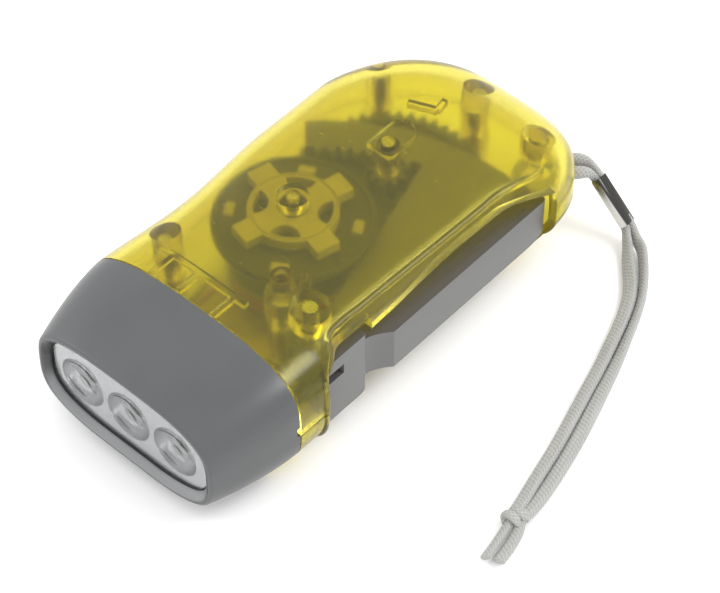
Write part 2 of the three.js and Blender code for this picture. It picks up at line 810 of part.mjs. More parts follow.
// Pawl ring under the flywheel: a ring with flexing fingers that reach towards the ratchet
function pawlRing() {
  const low = gearHigh + 2 * clearance;
  const ring = collar(pawlRingRadius, pawlRingRadius - pawlRingWall, low, discLow - clearance);
  const tip = ratchetRadius + 2 * clearance + pawlThickness / 2;
  const fingers = Array.from({ length: pawlCount }, (_, i) => {
    const turn = (360 * i) / pawlCount;
    const root = polar(new THREE.Vector2(), pawlRingRadius - pawlRingWall / 2, turn);
    const end = polar(new THREE.Vector2(), tip, turn + 40);
    return rib(root, end, low, ratchetHigh, pawlThickness);
  });
  return join([ring, ...fingers]);
}

function statorPlateAndClaws(low, high, clawLow, clawHigh, firstAngle) {
  const claws = Array.from({ length: clawCount }, (_, i) => {
    const geometry = new THREE.BoxGeometry(clawThickness, clawWidth, clawHigh - clawLow);
    geometry.translate(statorBore + clawThickness / 2, 0, (clawLow + clawHigh) / 2);
    return solid(geometry.rotateZ((2 * Math.PI * i) / clawCount + firstAngle));
  });
  return join([collar(statorRadius, statorBore, low, high), ...claws]);
}

function lowerPoles() {
  const high = statorLow + statorPlate;
  const tips = statorHigh - statorPlate - clearance;
  return statorPlateAndClaws(statorLow, high, high - statorPlate / 2, tips, 0);
}

function upperPoles() {
  const low = statorHigh - statorPlate;
  const tips = statorLow + statorPlate + clearance;
  return statorPlateAndClaws(low, statorHigh, tips, low + statorPlate / 2, Math.PI / clawCount);
}

const spoolLow = statorLow + statorPlate + clearance;
const spoolHigh = statorHigh - statorPlate - clearance;
const spoolInner = Math.hypot(statorBore + clawThickness, clawWidth / 2) + clearance;
const spoolHub = spoolInner + spoolWall;
const windingInner = spoolHub + clearance;

function coilSpool() {
  const flange = windingInner + windingDepth;
  const groove = collar(flange + overrun, spoolHub, spoolLow + spoolWall, spoolHigh - spoolWall);
  return collar(flange, spoolInner, spoolLow, spoolHigh).subtract(groove);
}

function coilWinding() {
  const edge = spoolWall + clearance;
  return collar(windingInner + windingDepth, windingInner, spoolLow + edge, spoolHigh - edge);
}

function rotorMagnet() {
  const high = gearLow - 2 * clearance;
  return collar(magnetRadius, shaftRadius + clearance, statorLow + clearance, high, new THREE.Vector2());
}

function rotorShaft() {
  return cylinder(shaftRadius, wall - clearance, roofZ - clearance, new THREE.Vector2(), smallSides);
}

function flywheelDisc() {
  const slots = Array.from({ length: spiderArms }, (_, i) => {
    const geometry = new THREE.BoxGeometry(slotWidth, slotLength, 3 * flywheelThickness);
    geometry.translate(slotRadius, 0, (discLow + discHigh) / 2);
    return solid(geometry.rotateZ(THREE.MathUtils.degToRad(spiderAngle + (180 + 360 * i) / spiderArms)));
  });
  const low = ratchetHigh + clearance;
  const hub = cylinder(flywheelHub, low, spiderHigh + clearance, new THREE.Vector2(), smallSides);
  const bore = cylinder(shaftRadius + clearance, 0, bodyThickness, new THREE.Vector2(), smallSides);
  return cylinder(flywheelRadius, discLow, discHigh).subtract(join(slots)).add(hub).subtract(bore);
}

function flywheelSpider() {
  const turn = THREE.MathUtils.degToRad(spiderAngle);
  const arms = Array.from({ length: spiderArms / 2 }, (_, i) => {
    const geometry = new THREE.BoxGeometry(2 * spiderReach, spiderArmWidth, spiderThickness);
    return solid(geometry.translate(0, 0, (spiderLow + spiderHigh) / 2).rotateZ(turn + (Math.PI / 2) * i));
  });
  const moonDistance = spiderRing - spiderRingWidth;
  const moons = Array.from({ length: spiderArms }, (_, i) => {
    const centre = polar(new THREE.Vector2(), moonDistance, spiderAngle + 45 + 90 * i);
    return cylinder(moonRadius, 0, bodyThickness, centre, smallSides);
  });
  const keep = cylinder(spiderRing - spiderRingWidth, 0, bodyThickness);
  return join([cylinder(spiderRing, spiderLow, spiderHigh), ...arms])
    .subtract(join(moons).intersect(keep))
    .subtract(cylinder(flywheelHub + clearance, 0, bodyThickness, new THREE.Vector2(), roundSides));
}

function screw() {
  const low = screwSeatDepth - clearance;
  return join([
    cylinder(screwHeadRadius, low - screwHeadHeight, low, new THREE.Vector2(), smallSides),
    cylinder(screwRadius, low - screwHeadHeight / 2, midZ + screwBite, new THREE.Vector2(), smallSides),
  ]);
}

function pin(radius, low, high) {
  return cylinder(radius, low, high, new THREE.Vector2(), smallSides);
}

// A tube of plain rings along a row of points, closed at both ends
function sweep(points, radius, sides) {
  const rings = [];
  const tangents = points.map((p, i) => new THREE.Vector3()
    .subVectors(points[Math.min(i + 1, points.length - 1)], points[Math.max(i - 1, 0)]).normalize());
  let side = new THREE.Vector3().crossVectors(new THREE.Vector3(0, 0, 1), tangents[0]);
  if (side.length() < 0.1) side.set(1, 0, 0);
  for (let i = 0; i < points.length; i += 1) {
    side = side.sub(tangents[i].clone().multiplyScalar(side.dot(tangents[i]))).normalize();
    const other = new THREE.Vector3().crossVectors(tangents[i], side);
    rings.push(Array.from({ length: sides }, (_, k) => {
      const turn = (-2 * Math.PI * (k + 0.5)) / sides;
      return points[i].clone()
        .addScaledVector(side, radius * Math.cos(turn))
        .addScaledVector(other, radius * Math.sin(turn));
    }));
  }
  return skin(rings);
}

function cord(points, radius, steps, sides = cordSides) {
  const path = new THREE.CatmullRomCurve3(points, false, 'centripetal');
  return sweep(path.getSpacedPoints(steps), radius, sides);
}

// Torsion spring: one wire, a straight leg, the coil, and a leg that leans on the lever's neck
const springRadius = neckInner - clearance - springWire / 2;
const springHub = pivotPinRadius + clearance + springHubWall;
const pocketLow = midZ - blockHeight / 2 + pocketLift;
const pocketHigh = pocketLow + springPitch * springTurns + springWire + 2 * clearance;

function springPath() {
  const coilSteps = Math.round(springTurns * springSteps);
  const startTurn = -2 * Math.PI * springTurns;
  const low = pocketLow + clearance + springWire / 2;
  const coil = Array.from({ length: coilSteps + 1 }, (_, i) => {
    const turns = i / springSteps;
    const turn = startTurn + 2 * Math.PI * turns;
    const height = low + springPitch * turns;
    return new THREE.Vector3(springRadius * Math.cos(turn), springRadius * Math.sin(turn), height);
  });
  const backwards = new THREE.Vector3(Math.sin(startTurn), -Math.cos(startTurn), 0);
  const lead = coil[0].clone().addScaledVector(backwards, springLeg);
  const leg = coil.at(-1).clone().setY(gripStart);
  return [lead, ...coil, leg];
}

function returnSpring() {
  const points = springPath();
  const turn = springSteps - 1;
  let gap = Infinity;
  for (let i = 0; i < points.length; i += 1) {
    for (let k = i + turn; k < points.length; k += 1) {
      gap = Math.min(gap, points[i].distanceTo(points[k]) - springWire);
    }
  }
  console.log(`return spring: least gap to itself ${gap.toFixed(2)} mm`);
  return sweep(points, springWire / 2, springSides);
}

// Lock slide inside the collar, its end at the mouth of the notch in the lever's block
function lockSlide() {
  const end = pivot.y - blockFront + clearance;
  const low = midZ + lockRise - lockHeight / 2;
  return box(lockX - lockWidth / 2, lockX + lockWidth / 2, end - lockLength, end, low, low + lockHeight);
}

// Wires from the coil to the lamp board, along the left wall
function wire(side) {
  const startX = shaftAxis.x - statorRadius / 2 - side * 3 * wireRadius;
  const startY = shaftAxis.y - statorRadius - clearance;
  const endY = boardFrontY + boardThickness + clearance;
  const level = statorLow + statorHeight / 2 + side * 2 * wireRadius;
  return cord([
    new THREE.Vector3(startX, startY, level),
    new THREE.Vector3(startX, startY - 4 * wireRadius, level),
    new THREE.Vector3(startX, (startY + endY) / 2, level - wall * side),
    new THREE.Vector3(startX, endY + 4 * wireRadius, level),
    new THREE.Vector3(startX, endY, level),
  ], wireRadius, 10, 6);
}

// Wrist strap. Its route is chosen by hand, from the post in the tail to the frayed ends.
const loopLeft = [[20.3, 50.6, 14.6], [21.8, 52.9, 13.9], [24.4, 54.2, 12.1]];
const loopRight = [[22.7, 49.8, 14.6], [23.6, 51.2, 13.9], [24.3, 51.7, 12.1]];
const clipStart = new THREE.Vector3(24.6, 52.9, 11.7);
const clipEnd = new THREE.Vector3(32.9, 52.4, 4.7);
const innerStrand = [
  [33.1, 51, 4.5], [35, 50, 2.7], [38.1, 46.8, 1.5], [42.9, 38.4, 1.2], [47.4, 25.9, 1.2],
  [50.9, 9.5, 1.2], [54.1, -3.2, 1.2], [57, -9.8, 1.4], [58.6, -12.2, 1.9],
];
const outerStrand = [
  [33.2, 53.7, 4.5], [36.4, 52.9, 2.7], [40.6, 49.1, 1.5], [45.9, 41, 1.2], [50.4, 28.3, 1.2],
  [54.1, 12.2, 1.2], [57.3, -0.6, 1.2], [59.9, -8.4, 1.4], [61.3, -11.2, 1.9],
];
const knotPlace = new THREE.Vector3(61, -15.1, 3.15);
const frayEnds = [
  [[60.6, -18.8, 1.9], [61.1, -21.4, 1.4], [61.7, -25.7, 1.2]],
  [[63.3, -18.2, 1.9], [64.1, -20.8, 1.4], [64.9, -24.7, 1.2]],
];

const vectors = (points) => points.map(([x, y, z]) => new THREE.Vector3(x, y, z));

// The doubled cord passes round its post and out through the hole, side by side
function strapLoop() {
  const reach = strapPost.radius + 2 * clearance + loopRadius;
  const pair = loopRadius + clearance / 2;
  const lean = strapLean();
  const around = (x, y) => new THREE.Vector3(strapPlace.x + x, strapPlace.y + y, midZ);
  const inHole = (side, y) => around(
    y * Math.sin(lean) + side * pair * Math.cos(lean), y * Math.cos(lean) - side * pair * Math.sin(lean));
  return cord([
    ...vectors(loopLeft).reverse(),
    inHole(-1, 2 * reach),
    around(-reach, 0),
    around(0, -reach),
    around(reach, 0),
    inHole(1, 2 * reach),
    ...vectors(loopRight),
  ], loopRadius, 36);
}

function strapClip() {
  const length = clipStart.distanceTo(clipEnd);
  const outer = new THREE.BoxGeometry(length, clipWidth, clipHeight);
  const inner = new THREE.BoxGeometry(length + overrun, clipWidth - 2 * clipWall, clipHeight - 2 * clipWall);
  return solid(outer).subtract(solid(inner));
}

function strapKnot() {
  const profile = Array.from({ length: 7 }, (_, i) => {
    const turn = (Math.PI * i) / 6;
    return new THREE.Vector2(knotRadius * Math.sin(turn) ** 0.6, (-knotLength / 2) * Math.cos(turn));
  });
  return solid(new THREE.LatheGeometry(profile, smallSides));
}

// Finishes
function finish(color, roughness, metalness = 0, opacity = 1) {
  return new THREE.MeshStandardMaterial({ color, roughness, metalness, opacity, transparent: opacity < 1 });
}

const yellowClear = () => finish(0xe6d828, 0.2, 0, 0.5);
const greyPlastic = () => finish(0x77787a, 0.5);
const leverGrey = () => finish(0x8f8f90, 0.5);
const darkPlastic = () => finish(0x35352f, 0.5);
const steel = () => finish(0xb8b8b8, 0.3, 1);
const strapGrey = () => finish(0xa5a59e, 0.9);

function piece(name, whole, material, place = new THREE.Vector3()) {
  const mesh = new THREE.Mesh(shapeOf(whole), material);
  mesh.name = name;
  mesh.position.copy(place);
  return mesh;
}

function cased() {
  const group = new THREE.Group();
  group.add(
    piece('top_shell', topShell(), yellowClear()),
    piece('bottom_shell', bottomShell(), yellowClear()),
    piece('head_shell', headShell(), greyPlastic()),
    piece('window_lens', lens(), finish(0xf2f4f5, 0.05, 0, 0.3)),
    piece('reflector', reflector(), finish(0xc9ccd0, 0.15, 1)),
    piece('led_board', ledBoard(), finish(0x2f6b3c, 0.6)),
    piece('lock_slide', lockSlide(), finish(0x18181a, 0.5)),
    piece('lead_wire_1', wire(0), finish(0xb02020, 0.5)),
    piece('lead_wire_2', wire(1), finish(0x202020, 0.5)),
  );
  ledPlaces.forEach((x, i) => group.add(piece(`led_${i + 1}`, led(x), finish(0xf4f6fa, 0.1, 0, 0.6))));
  screwPosts.forEach((post, i) => group.add(
    piece(`case_screw_${i + 1}`, screw(), steel(), new THREE.Vector3(post.x, post.y, 0))));
  return group;
}

function leverGroup() {
  const group = new THREE.Group();
  group.position.set(pivot.x, pivot.y, 0);
  group.add(
    piece('squeeze_lever', squeezeLever(), leverGrey()),
    piece('lever_pin', pin(pivotPinRadius, seatZ, roofZ), steel()),
    piece('return_spring', returnSpring(), steel()),
  );
  return group;
}

function gearGroup() {
  const group = new THREE.Group();
  group.position.set(gearAxis.x, gearAxis.y, 0);
  group.add(
    piece('drive_gear', driveGear(), darkPlastic()),
    piece('gear_axle', pin(axleRadius, wall - clearance, roofZ - 2 * clearance), steel()),
  );
  return group;
}

function generatorGroup() {
  const group = new THREE.Group();
  group.position.set(shaftAxis.x, shaftAxis.y, 0);
  group.add(
    piece('lower_pole_plate', lowerPoles(), steel()),
    piece('upper_pole_plate', upperPoles(), steel()),
    piece('coil_spool', coilSpool(), darkPlastic()),
    piece('coil_winding', coilWinding(), finish(0xb06a2c, 0.4, 0.6)),
    piece('rotor_magnet', rotorMagnet(), finish(0x3a3a3c, 0.6)),
    piece('rotor_shaft', rotorShaft(), steel()),
    piece('ratchet_pinion', ratchetPinion(), darkPlastic()),
    piece('pawl_ring', pawlRing(), darkPlastic()),
    piece('flywheel_disc', flywheelDisc(), darkPlastic()),
    piece('flywheel_spider', flywheelSpider(), finish(0xb9b48a, 0.5)),
  );
  return group;
}

function strapGroup() {
  const group = new THREE.Group();
  const clip = piece('strap_clip', strapClip(), steel());
  clip.position.copy(clipStart).add(clipEnd).divideScalar(2);
  const direction = new THREE.Vector3().subVectors(clipEnd, clipStart);
  const rise = Math.asin(direction.z / direction.length());
  clip.rotation.set(0, -rise, Math.atan2(direction.y, direction.x), 'ZYX');
  const knot = piece('strap_knot', strapKnot(), strapGrey(), knotPlace);
  knot.rotation.z = Math.atan2(knotLength, knotRadius) - Math.PI / 2;
  group.add(
    piece('strap_loop', strapLoop(), strapGrey()),
    clip,
    piece('strap_strand_inner', cord(vectors(innerStrand), strandRadius, 24), strapGrey()),
    piece('strap_strand_outer', cord(vectors(outerStrand), strandRadius, 24), strapGrey()),
    knot,
    piece('strap_end_1', cord(vectors(frayEnds[0]), strandRadius, 4), strapGrey()),
    piece('strap_end_2', cord(vectors(frayEnds[1]), strandRadius, 4), strapGrey()),
  );
  return group;
}

// The rim stands forward of the head's length, so the torch moves back to centre its length on the origin
const torch = new THREE.Group();
torch.name = 'squeeze_torch';
torch.position.set(0, (rimForward + rimLean / 2) / 2, 0);
torch.add(cased(), leverGroup(), gearGroup(), generatorGroup(), strapGroup());

export default torch;
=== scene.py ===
"""The dressed squeeze-lever dynamo torch: clear yellow case, grey lamp head and lever, flywheel generator and strap.

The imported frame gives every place. Sizes here are in millimetres and turned into metres as the meshes are made.
"""

from __future__ import annotations

import json
import logging
import math
from dataclasses import dataclass, field
from enum import Enum
from functools import partial
from typing import Callable, Iterable, Sequence

import bpy
from mathutils import Matrix, Vector

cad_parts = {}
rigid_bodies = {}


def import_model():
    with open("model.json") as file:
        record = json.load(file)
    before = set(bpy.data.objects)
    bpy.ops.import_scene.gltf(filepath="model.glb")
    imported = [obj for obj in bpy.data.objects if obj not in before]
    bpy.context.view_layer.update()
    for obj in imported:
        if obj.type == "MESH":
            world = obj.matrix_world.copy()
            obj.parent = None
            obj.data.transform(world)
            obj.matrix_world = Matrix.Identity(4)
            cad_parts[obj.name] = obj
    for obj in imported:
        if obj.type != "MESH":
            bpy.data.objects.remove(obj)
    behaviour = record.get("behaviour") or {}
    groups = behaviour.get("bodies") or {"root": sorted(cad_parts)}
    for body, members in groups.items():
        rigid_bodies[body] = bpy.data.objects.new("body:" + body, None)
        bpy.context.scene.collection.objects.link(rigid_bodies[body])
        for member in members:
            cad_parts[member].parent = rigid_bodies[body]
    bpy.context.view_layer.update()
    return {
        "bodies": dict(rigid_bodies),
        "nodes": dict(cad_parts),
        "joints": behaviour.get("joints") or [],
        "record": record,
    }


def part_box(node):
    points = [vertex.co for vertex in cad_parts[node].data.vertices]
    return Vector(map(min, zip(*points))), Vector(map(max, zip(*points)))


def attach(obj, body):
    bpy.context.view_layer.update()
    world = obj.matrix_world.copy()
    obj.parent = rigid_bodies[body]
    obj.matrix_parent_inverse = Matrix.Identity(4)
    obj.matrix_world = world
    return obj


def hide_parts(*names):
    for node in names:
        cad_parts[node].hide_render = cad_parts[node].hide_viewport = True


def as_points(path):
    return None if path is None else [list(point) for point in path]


LOG = logging.getLogger("squeeze_torch")
MM = 0.001
SEWN = 1e-7
BOSS_SIDES = 48
HOLE_SIDES = 32

Plan = tuple[float, float]
Colour = tuple[float, float, float]
Ring = list[Vector]
Row = tuple[float, float, float, Plan]  # A rod's radius, foot, head and place.


class Body(str, Enum):
    """The bodies of the frame that pieces ride on."""

    HOUSING = "housing"
    LEVER = "lever"
    ROTOR = "rotor"
    LOCK = "lock"


class Cut(str, Enum):
    """How one solid changes another."""

    ADD = "UNION"
    TAKE = "DIFFERENCE"
    KEEP = "INTERSECT"


class Axis(Enum):
    """The direction that a turned piece spins about."""

    UP = "up"
    FORWARD = "forward"


def mix(first: float, second: float, share: float) -> float:
    """Return the value that lies a share of the way between two others."""
    return first + (second - first) * share


def smooth(low: float, high: float, value: float) -> float:
    """Return 0 before low, 1 after high and an S curve between them."""
    share = min(1.0, max(0.0, (value - low) / (high - low)))
    return share * share * (3 - 2 * share)


def steps(first: float, last: float, count: int) -> list[float]:
    """Return evenly spread values with both ends."""
    return [mix(first, last, i / (count - 1)) for i in range(count)]


def polar(centre: Plan, radius: float, degrees: float) -> Plan:
    """Return a plan point at a radius and angle from another."""
    turn = math.radians(degrees)
    return centre[0] + radius * math.cos(turn), centre[1] + radius * math.sin(turn)


def shade(colour: Colour, share: float = 1, plus: float = 0) -> tuple[float, ...]:
    """Return an opaque colour that is a share of another, with something added."""
    return (*(min(1, value * share + plus) for value in colour), 1)


def arc(centre: Plan, radius: float, start: float, end: float, count: int = 8) -> list[Plan]:
    """Return plan points along an arc.

    Args:
        centre: the arc's centre.
        radius: its radius.
        start: the first angle in degrees.
        end: the last angle in degrees.
        count: how many points.

    Returns:
        The points from start to end.
    """
    return [polar(centre, radius, degrees) for degrees in steps(start, end, count)]


class Bench:
    """Modelling moves on one object at a time. Every piece ends at the origin with its place in its mesh."""

    @staticmethod
    def clear() -> None:
        """Deselect everything."""
        bpy.ops.object.select_all(action="DESELECT")

    @staticmethod
    def take(obj: bpy.types.Object) -> None:
        """Select one object alone and make it active.

        Args:
            obj: the object.
        """
        Bench.clear()
        obj.select_set(True)
        bpy.context.view_layer.objects.active = obj

    @staticmethod
    def keep(name: str) -> bpy.types.Object:
        """Name the object that an operator has just added, and put its place into its mesh.

        Args:
            name: the name of the piece.

        Returns:
            The object.
        """
        obj = bpy.context.object
        obj.name = name
        obj.data.name = name
        bpy.ops.object.transform_apply(location=True, rotation=True, scale=True)
        return obj

    @staticmethod
    def place(obj: bpy.types.Object, values: Iterable[float]) -> None:
        """Put an object's vertices at places in millimetres, given number by number."""
        obj.data.vertices.foreach_set("co", [value * MM for value in values])
        obj.data.update()

    @staticmethod
    def sew() -> None:
        """Merge doubled vertices in edit mode."""
        bpy.ops.mesh.remove_doubles(threshold=SEWN)

    @staticmethod
    def whole(obj: bpy.types.Object, *moves: Callable[[], object]) -> None:
        """Make moves in edit mode, each on the whole mesh, and turn all faces outwards.

        Args:
            obj: the object.
            moves: the operators with their settings.
        """
        Bench.take(obj)
        bpy.ops.object.mode_set(mode="EDIT")
        for move in (*moves, partial(bpy.ops.mesh.normals_make_consistent, inside=False)):
            bpy.ops.mesh.select_all(action="SELECT")
            move()
        bpy.ops.object.mode_set(mode="OBJECT")

    @staticmethod
    def wrap(name: str, rings: Sequence[Ring], looped: bool = False) -> bpy.types.Object:
        """Bend a grid round a row of rings and sew it shut.

        Args:
            name: the name of the piece.
            rings: rings of points in millimetres, all with the same count.
            looped: sew the last ring to the first, for a hollow form, and close no ends.

        Returns:
            The closed object.
        """
        rows = [*rings, rings[0]] if looped else list(rings)
        Bench.clear()
        bpy.ops.mesh.primitive_grid_add(x_subdivisions=len(rows[0]), y_subdivisions=len(rows) - 1, size=1)
        obj = Bench.keep(name)
        Bench.place(obj, [value for ring in rows for point in (*ring, ring[0]) for value in point])
        caps = [] if looped else [partial(bpy.ops.mesh.fill_holes, sides=0)]
        Bench.whole(obj, Bench.sew, *caps)
        return obj

    @staticmethod
    def rod(name: str, radius: float, low: float, high: float, centre: Plan = (0, 0),
            sides: int = 64) -> bpy.types.Object:
        """Stand a cylinder between two heights.

        Args:
            name: the name of the piece.
            radius: its radius.
            low: the lower height.
            high: the upper height.
            centre: its place in plan.
            sides: how many sides.

        Returns:
            The object.
        """
        Bench.clear()
        bpy.ops.mesh.primitive_cylinder_add(
            vertices=sides, radius=radius * MM, depth=(high - low) * MM,
            location=(centre[0] * MM, centre[1] * MM, (low + high) / 2 * MM),
        )
        return Bench.keep(name)

    @staticmethod
    def brick(name: str, low: Sequence[float], high: Sequence[float], turn: float = 0) -> bpy.types.Object:
        """Place a box between two corners, turned about the upright line through the origin.

        Args:
            name: the name of the piece.
            low: its lowest corner.
            high: its highest corner.
            turn: degrees to turn it by.

        Returns:
            The object.
        """
        Bench.clear()
        bpy.ops.mesh.primitive_cube_add(size=1, location=[(a + b) / 2 * MM for a, b in zip(low, high)])
        bpy.context.object.scale = [(b - a) * MM for a, b in zip(low, high)]
        obj = Bench.keep(name)
        if turn:
            obj.data.transform(Matrix.Rotation(math.radians(turn), 4, "Z"))
        return obj

    @staticmethod
    def slab(name: str, outline: Sequence[Plan], low: float, high: float) -> bpy.types.Object:
        """Extrude a plan outline between two heights.

        Args:
            name: the name of the piece.
            outline: the outline's points in plan.
            low: the lower height.
            high: the upper height.

        Returns:
            The object.
        """
        Bench.clear()
        bpy.ops.mesh.primitive_circle_add(vertices=len(outline), radius=MM, fill_type="NGON")
        obj = Bench.keep(name)
        Bench.place(obj, [value for x, y in outline for value in (x, y, low)])
        rise = {"value": (0, 0, (high - low) * MM)}
        Bench.whole(obj, partial(bpy.ops.mesh.extrude_region_move, TRANSFORM_OT_translate=rise))
        return obj

    @staticmethod
    def turned(name: str, profile: Sequence[Plan], centre: Vector, axis: Axis = Axis.UP, sides: int = 64,
               looped: bool = False) -> bpy.types.Object:
        """Turn a profile of (radius, height) points about an axis.

        Args:
            name: the name of the piece.
            profile: the points, from one end of the axis to the other.
            centre: the origin of the profile.
            axis: the direction of the axis.
            sides: how many sides.
            looped: the profile closes on itself.

        Returns:
            The closed object.
        """
        rings = []
        for radius, height in profile:
            ring = []
            for i in range(sides):
                turn = 2 * math.pi * i / sides
                across, other = radius * math.cos(turn), radius * math.sin(turn)
                place = (across, other, height) if axis is Axis.UP else (across, height, other)
                ring.append(centre + Vector(place))
            rings.append(ring)
        return Bench.wrap(name, rings, looped=looped)

    @staticmethod
    def shape(obj: bpy.types.Object, how: Cut, *tools: bpy.types.Object) -> bpy.types.Object:
        """Change one solid by others, which are used up.

        Args:
            obj: the solid to change.
            how: add, take or keep.
            tools: the solids that change it, one after another.

        Returns:
            The changed object.
        """
        for tool in tools:
            cut = obj.modifiers.new(how.name.lower(), "BOOLEAN")
            cut.operation = how.value
            cut.solver = "MANIFOLD"
            cut.object = tool
            Bench.take(obj)
            bpy.ops.object.modifier_apply(modifier=cut.name)
            bpy.data.objects.remove(tool)
            if not obj.data.polygons:
                raise ValueError(f"nothing is left of {obj.name}")
        return obj

    @staticmethod
    def copy(obj: bpy.types.Object, name: str) -> bpy.types.Object:
        """Copy an object with its own mesh, free of its parent.

        Args:
            obj: the object to copy.
            name: the copy's name.

        Returns:
            The copy, with doubled vertices merged.
        """
        twin = bpy.data.objects.new(name, obj.data.copy())
        twin.data.name = name
        twin.data.materials.clear()
        bpy.context.scene.collection.objects.link(twin)
        Bench.whole(twin, Bench.sew)
        return twin

    @staticmethod
    def round_edges(obj: bpy.types.Object, width: float, segments: int = 2, angle: float = 35) -> None:
        """Round the edges that are sharper than an angle.

        Args:
            obj: the object.
            width: the width of the rounding.
            segments: how many facets it has.
            angle: the least angle in degrees.
        """
        bevel = obj.modifiers.new("rounded", "BEVEL")
        bevel.width = width * MM
        bevel.segments = segments
        bevel.limit_method = "ANGLE"
        bevel.angle_limit = math.radians(angle)
        bevel.harden_normals = False
        Bench.take(obj)
        bpy.ops.object.modifier_apply(modifier=bevel.name)

    @staticmethod
    def soften(obj: bpy.types.Object, angle: float = 40) -> None:
        """Shade smooth, apart from edges sharper than an angle."""
        Bench.take(obj)
        bpy.ops.object.shade_smooth_by_angle(angle=math.radians(angle))


class Graph:
    """A node tree with short ways to add and link nodes."""

    def __init__(self, tree: bpy.types.NodeTree) -> None:
        """Hold a tree."""
        self.tree = tree

    def add(self, kind: str, inputs: dict[str | int, object] | None = None, **settings: object) -> bpy.types.Node:
        """Add a node.

        Args:
            kind: the node's type.
            inputs: values of its sockets, or sockets to link to them.
            settings: the node's own properties.

        Returns:
            The node.
        """
        node = self.tree.nodes.new(kind)
        for name, value in settings.items():
            setattr(node, name, value)
        for key, value in (inputs or {}).items():
            self.feed(value, node, key)
        return node

    def feed(self, value: object, node: bpy.types.Node, key: str | int) -> None:
        """Link a socket to a node's input, or set the input to a value.

        Args:
            value: the socket or value.
            node: the node.
            key: the input's name or index.
        """
        if isinstance(value, bpy.types.NodeSocket):
            self.tree.links.new(value, node.inputs[key])
        else:
            node.inputs[key].default_value = value

    def blend(self, factor: object, first: object, second: object) -> bpy.types.NodeSocket:
        """Mix two colours and return the result."""
        return self.add("ShaderNodeMix", {0: factor, 6: first, 7: second}, data_type="RGBA").outputs[2]

    def span(self, value: bpy.types.NodeSocket, low: float, high: float, start: float = 0,
             end: float = 1) -> bpy.types.NodeSocket:
        """Map a value from start..end to low..high and return the result."""
        ends = {"From Min": start, "From Max": end, "To Min": low, "To Max": high}
        return self.add("ShaderNodeMapRange", {"Value": value, **ends}).outputs["Result"]

    def noise(self, vector: object, scale: object, detail: float, **others: float) -> bpy.types.NodeSocket:
        """Return a noise of a scale and detail, with its other inputs by name."""
        inputs = {"Vector": vector, "Scale": scale, "Detail": detail, **others}
        return self.add("ShaderNodeTexNoise", inputs).outputs[0]

    def sum_of(self, how: str, first: object, second: object) -> bpy.types.NodeSocket:
        """Return the result of a sum on two values."""
        return self.add("ShaderNodeMath", {0: first, 1: second}, operation=how).outputs[0]


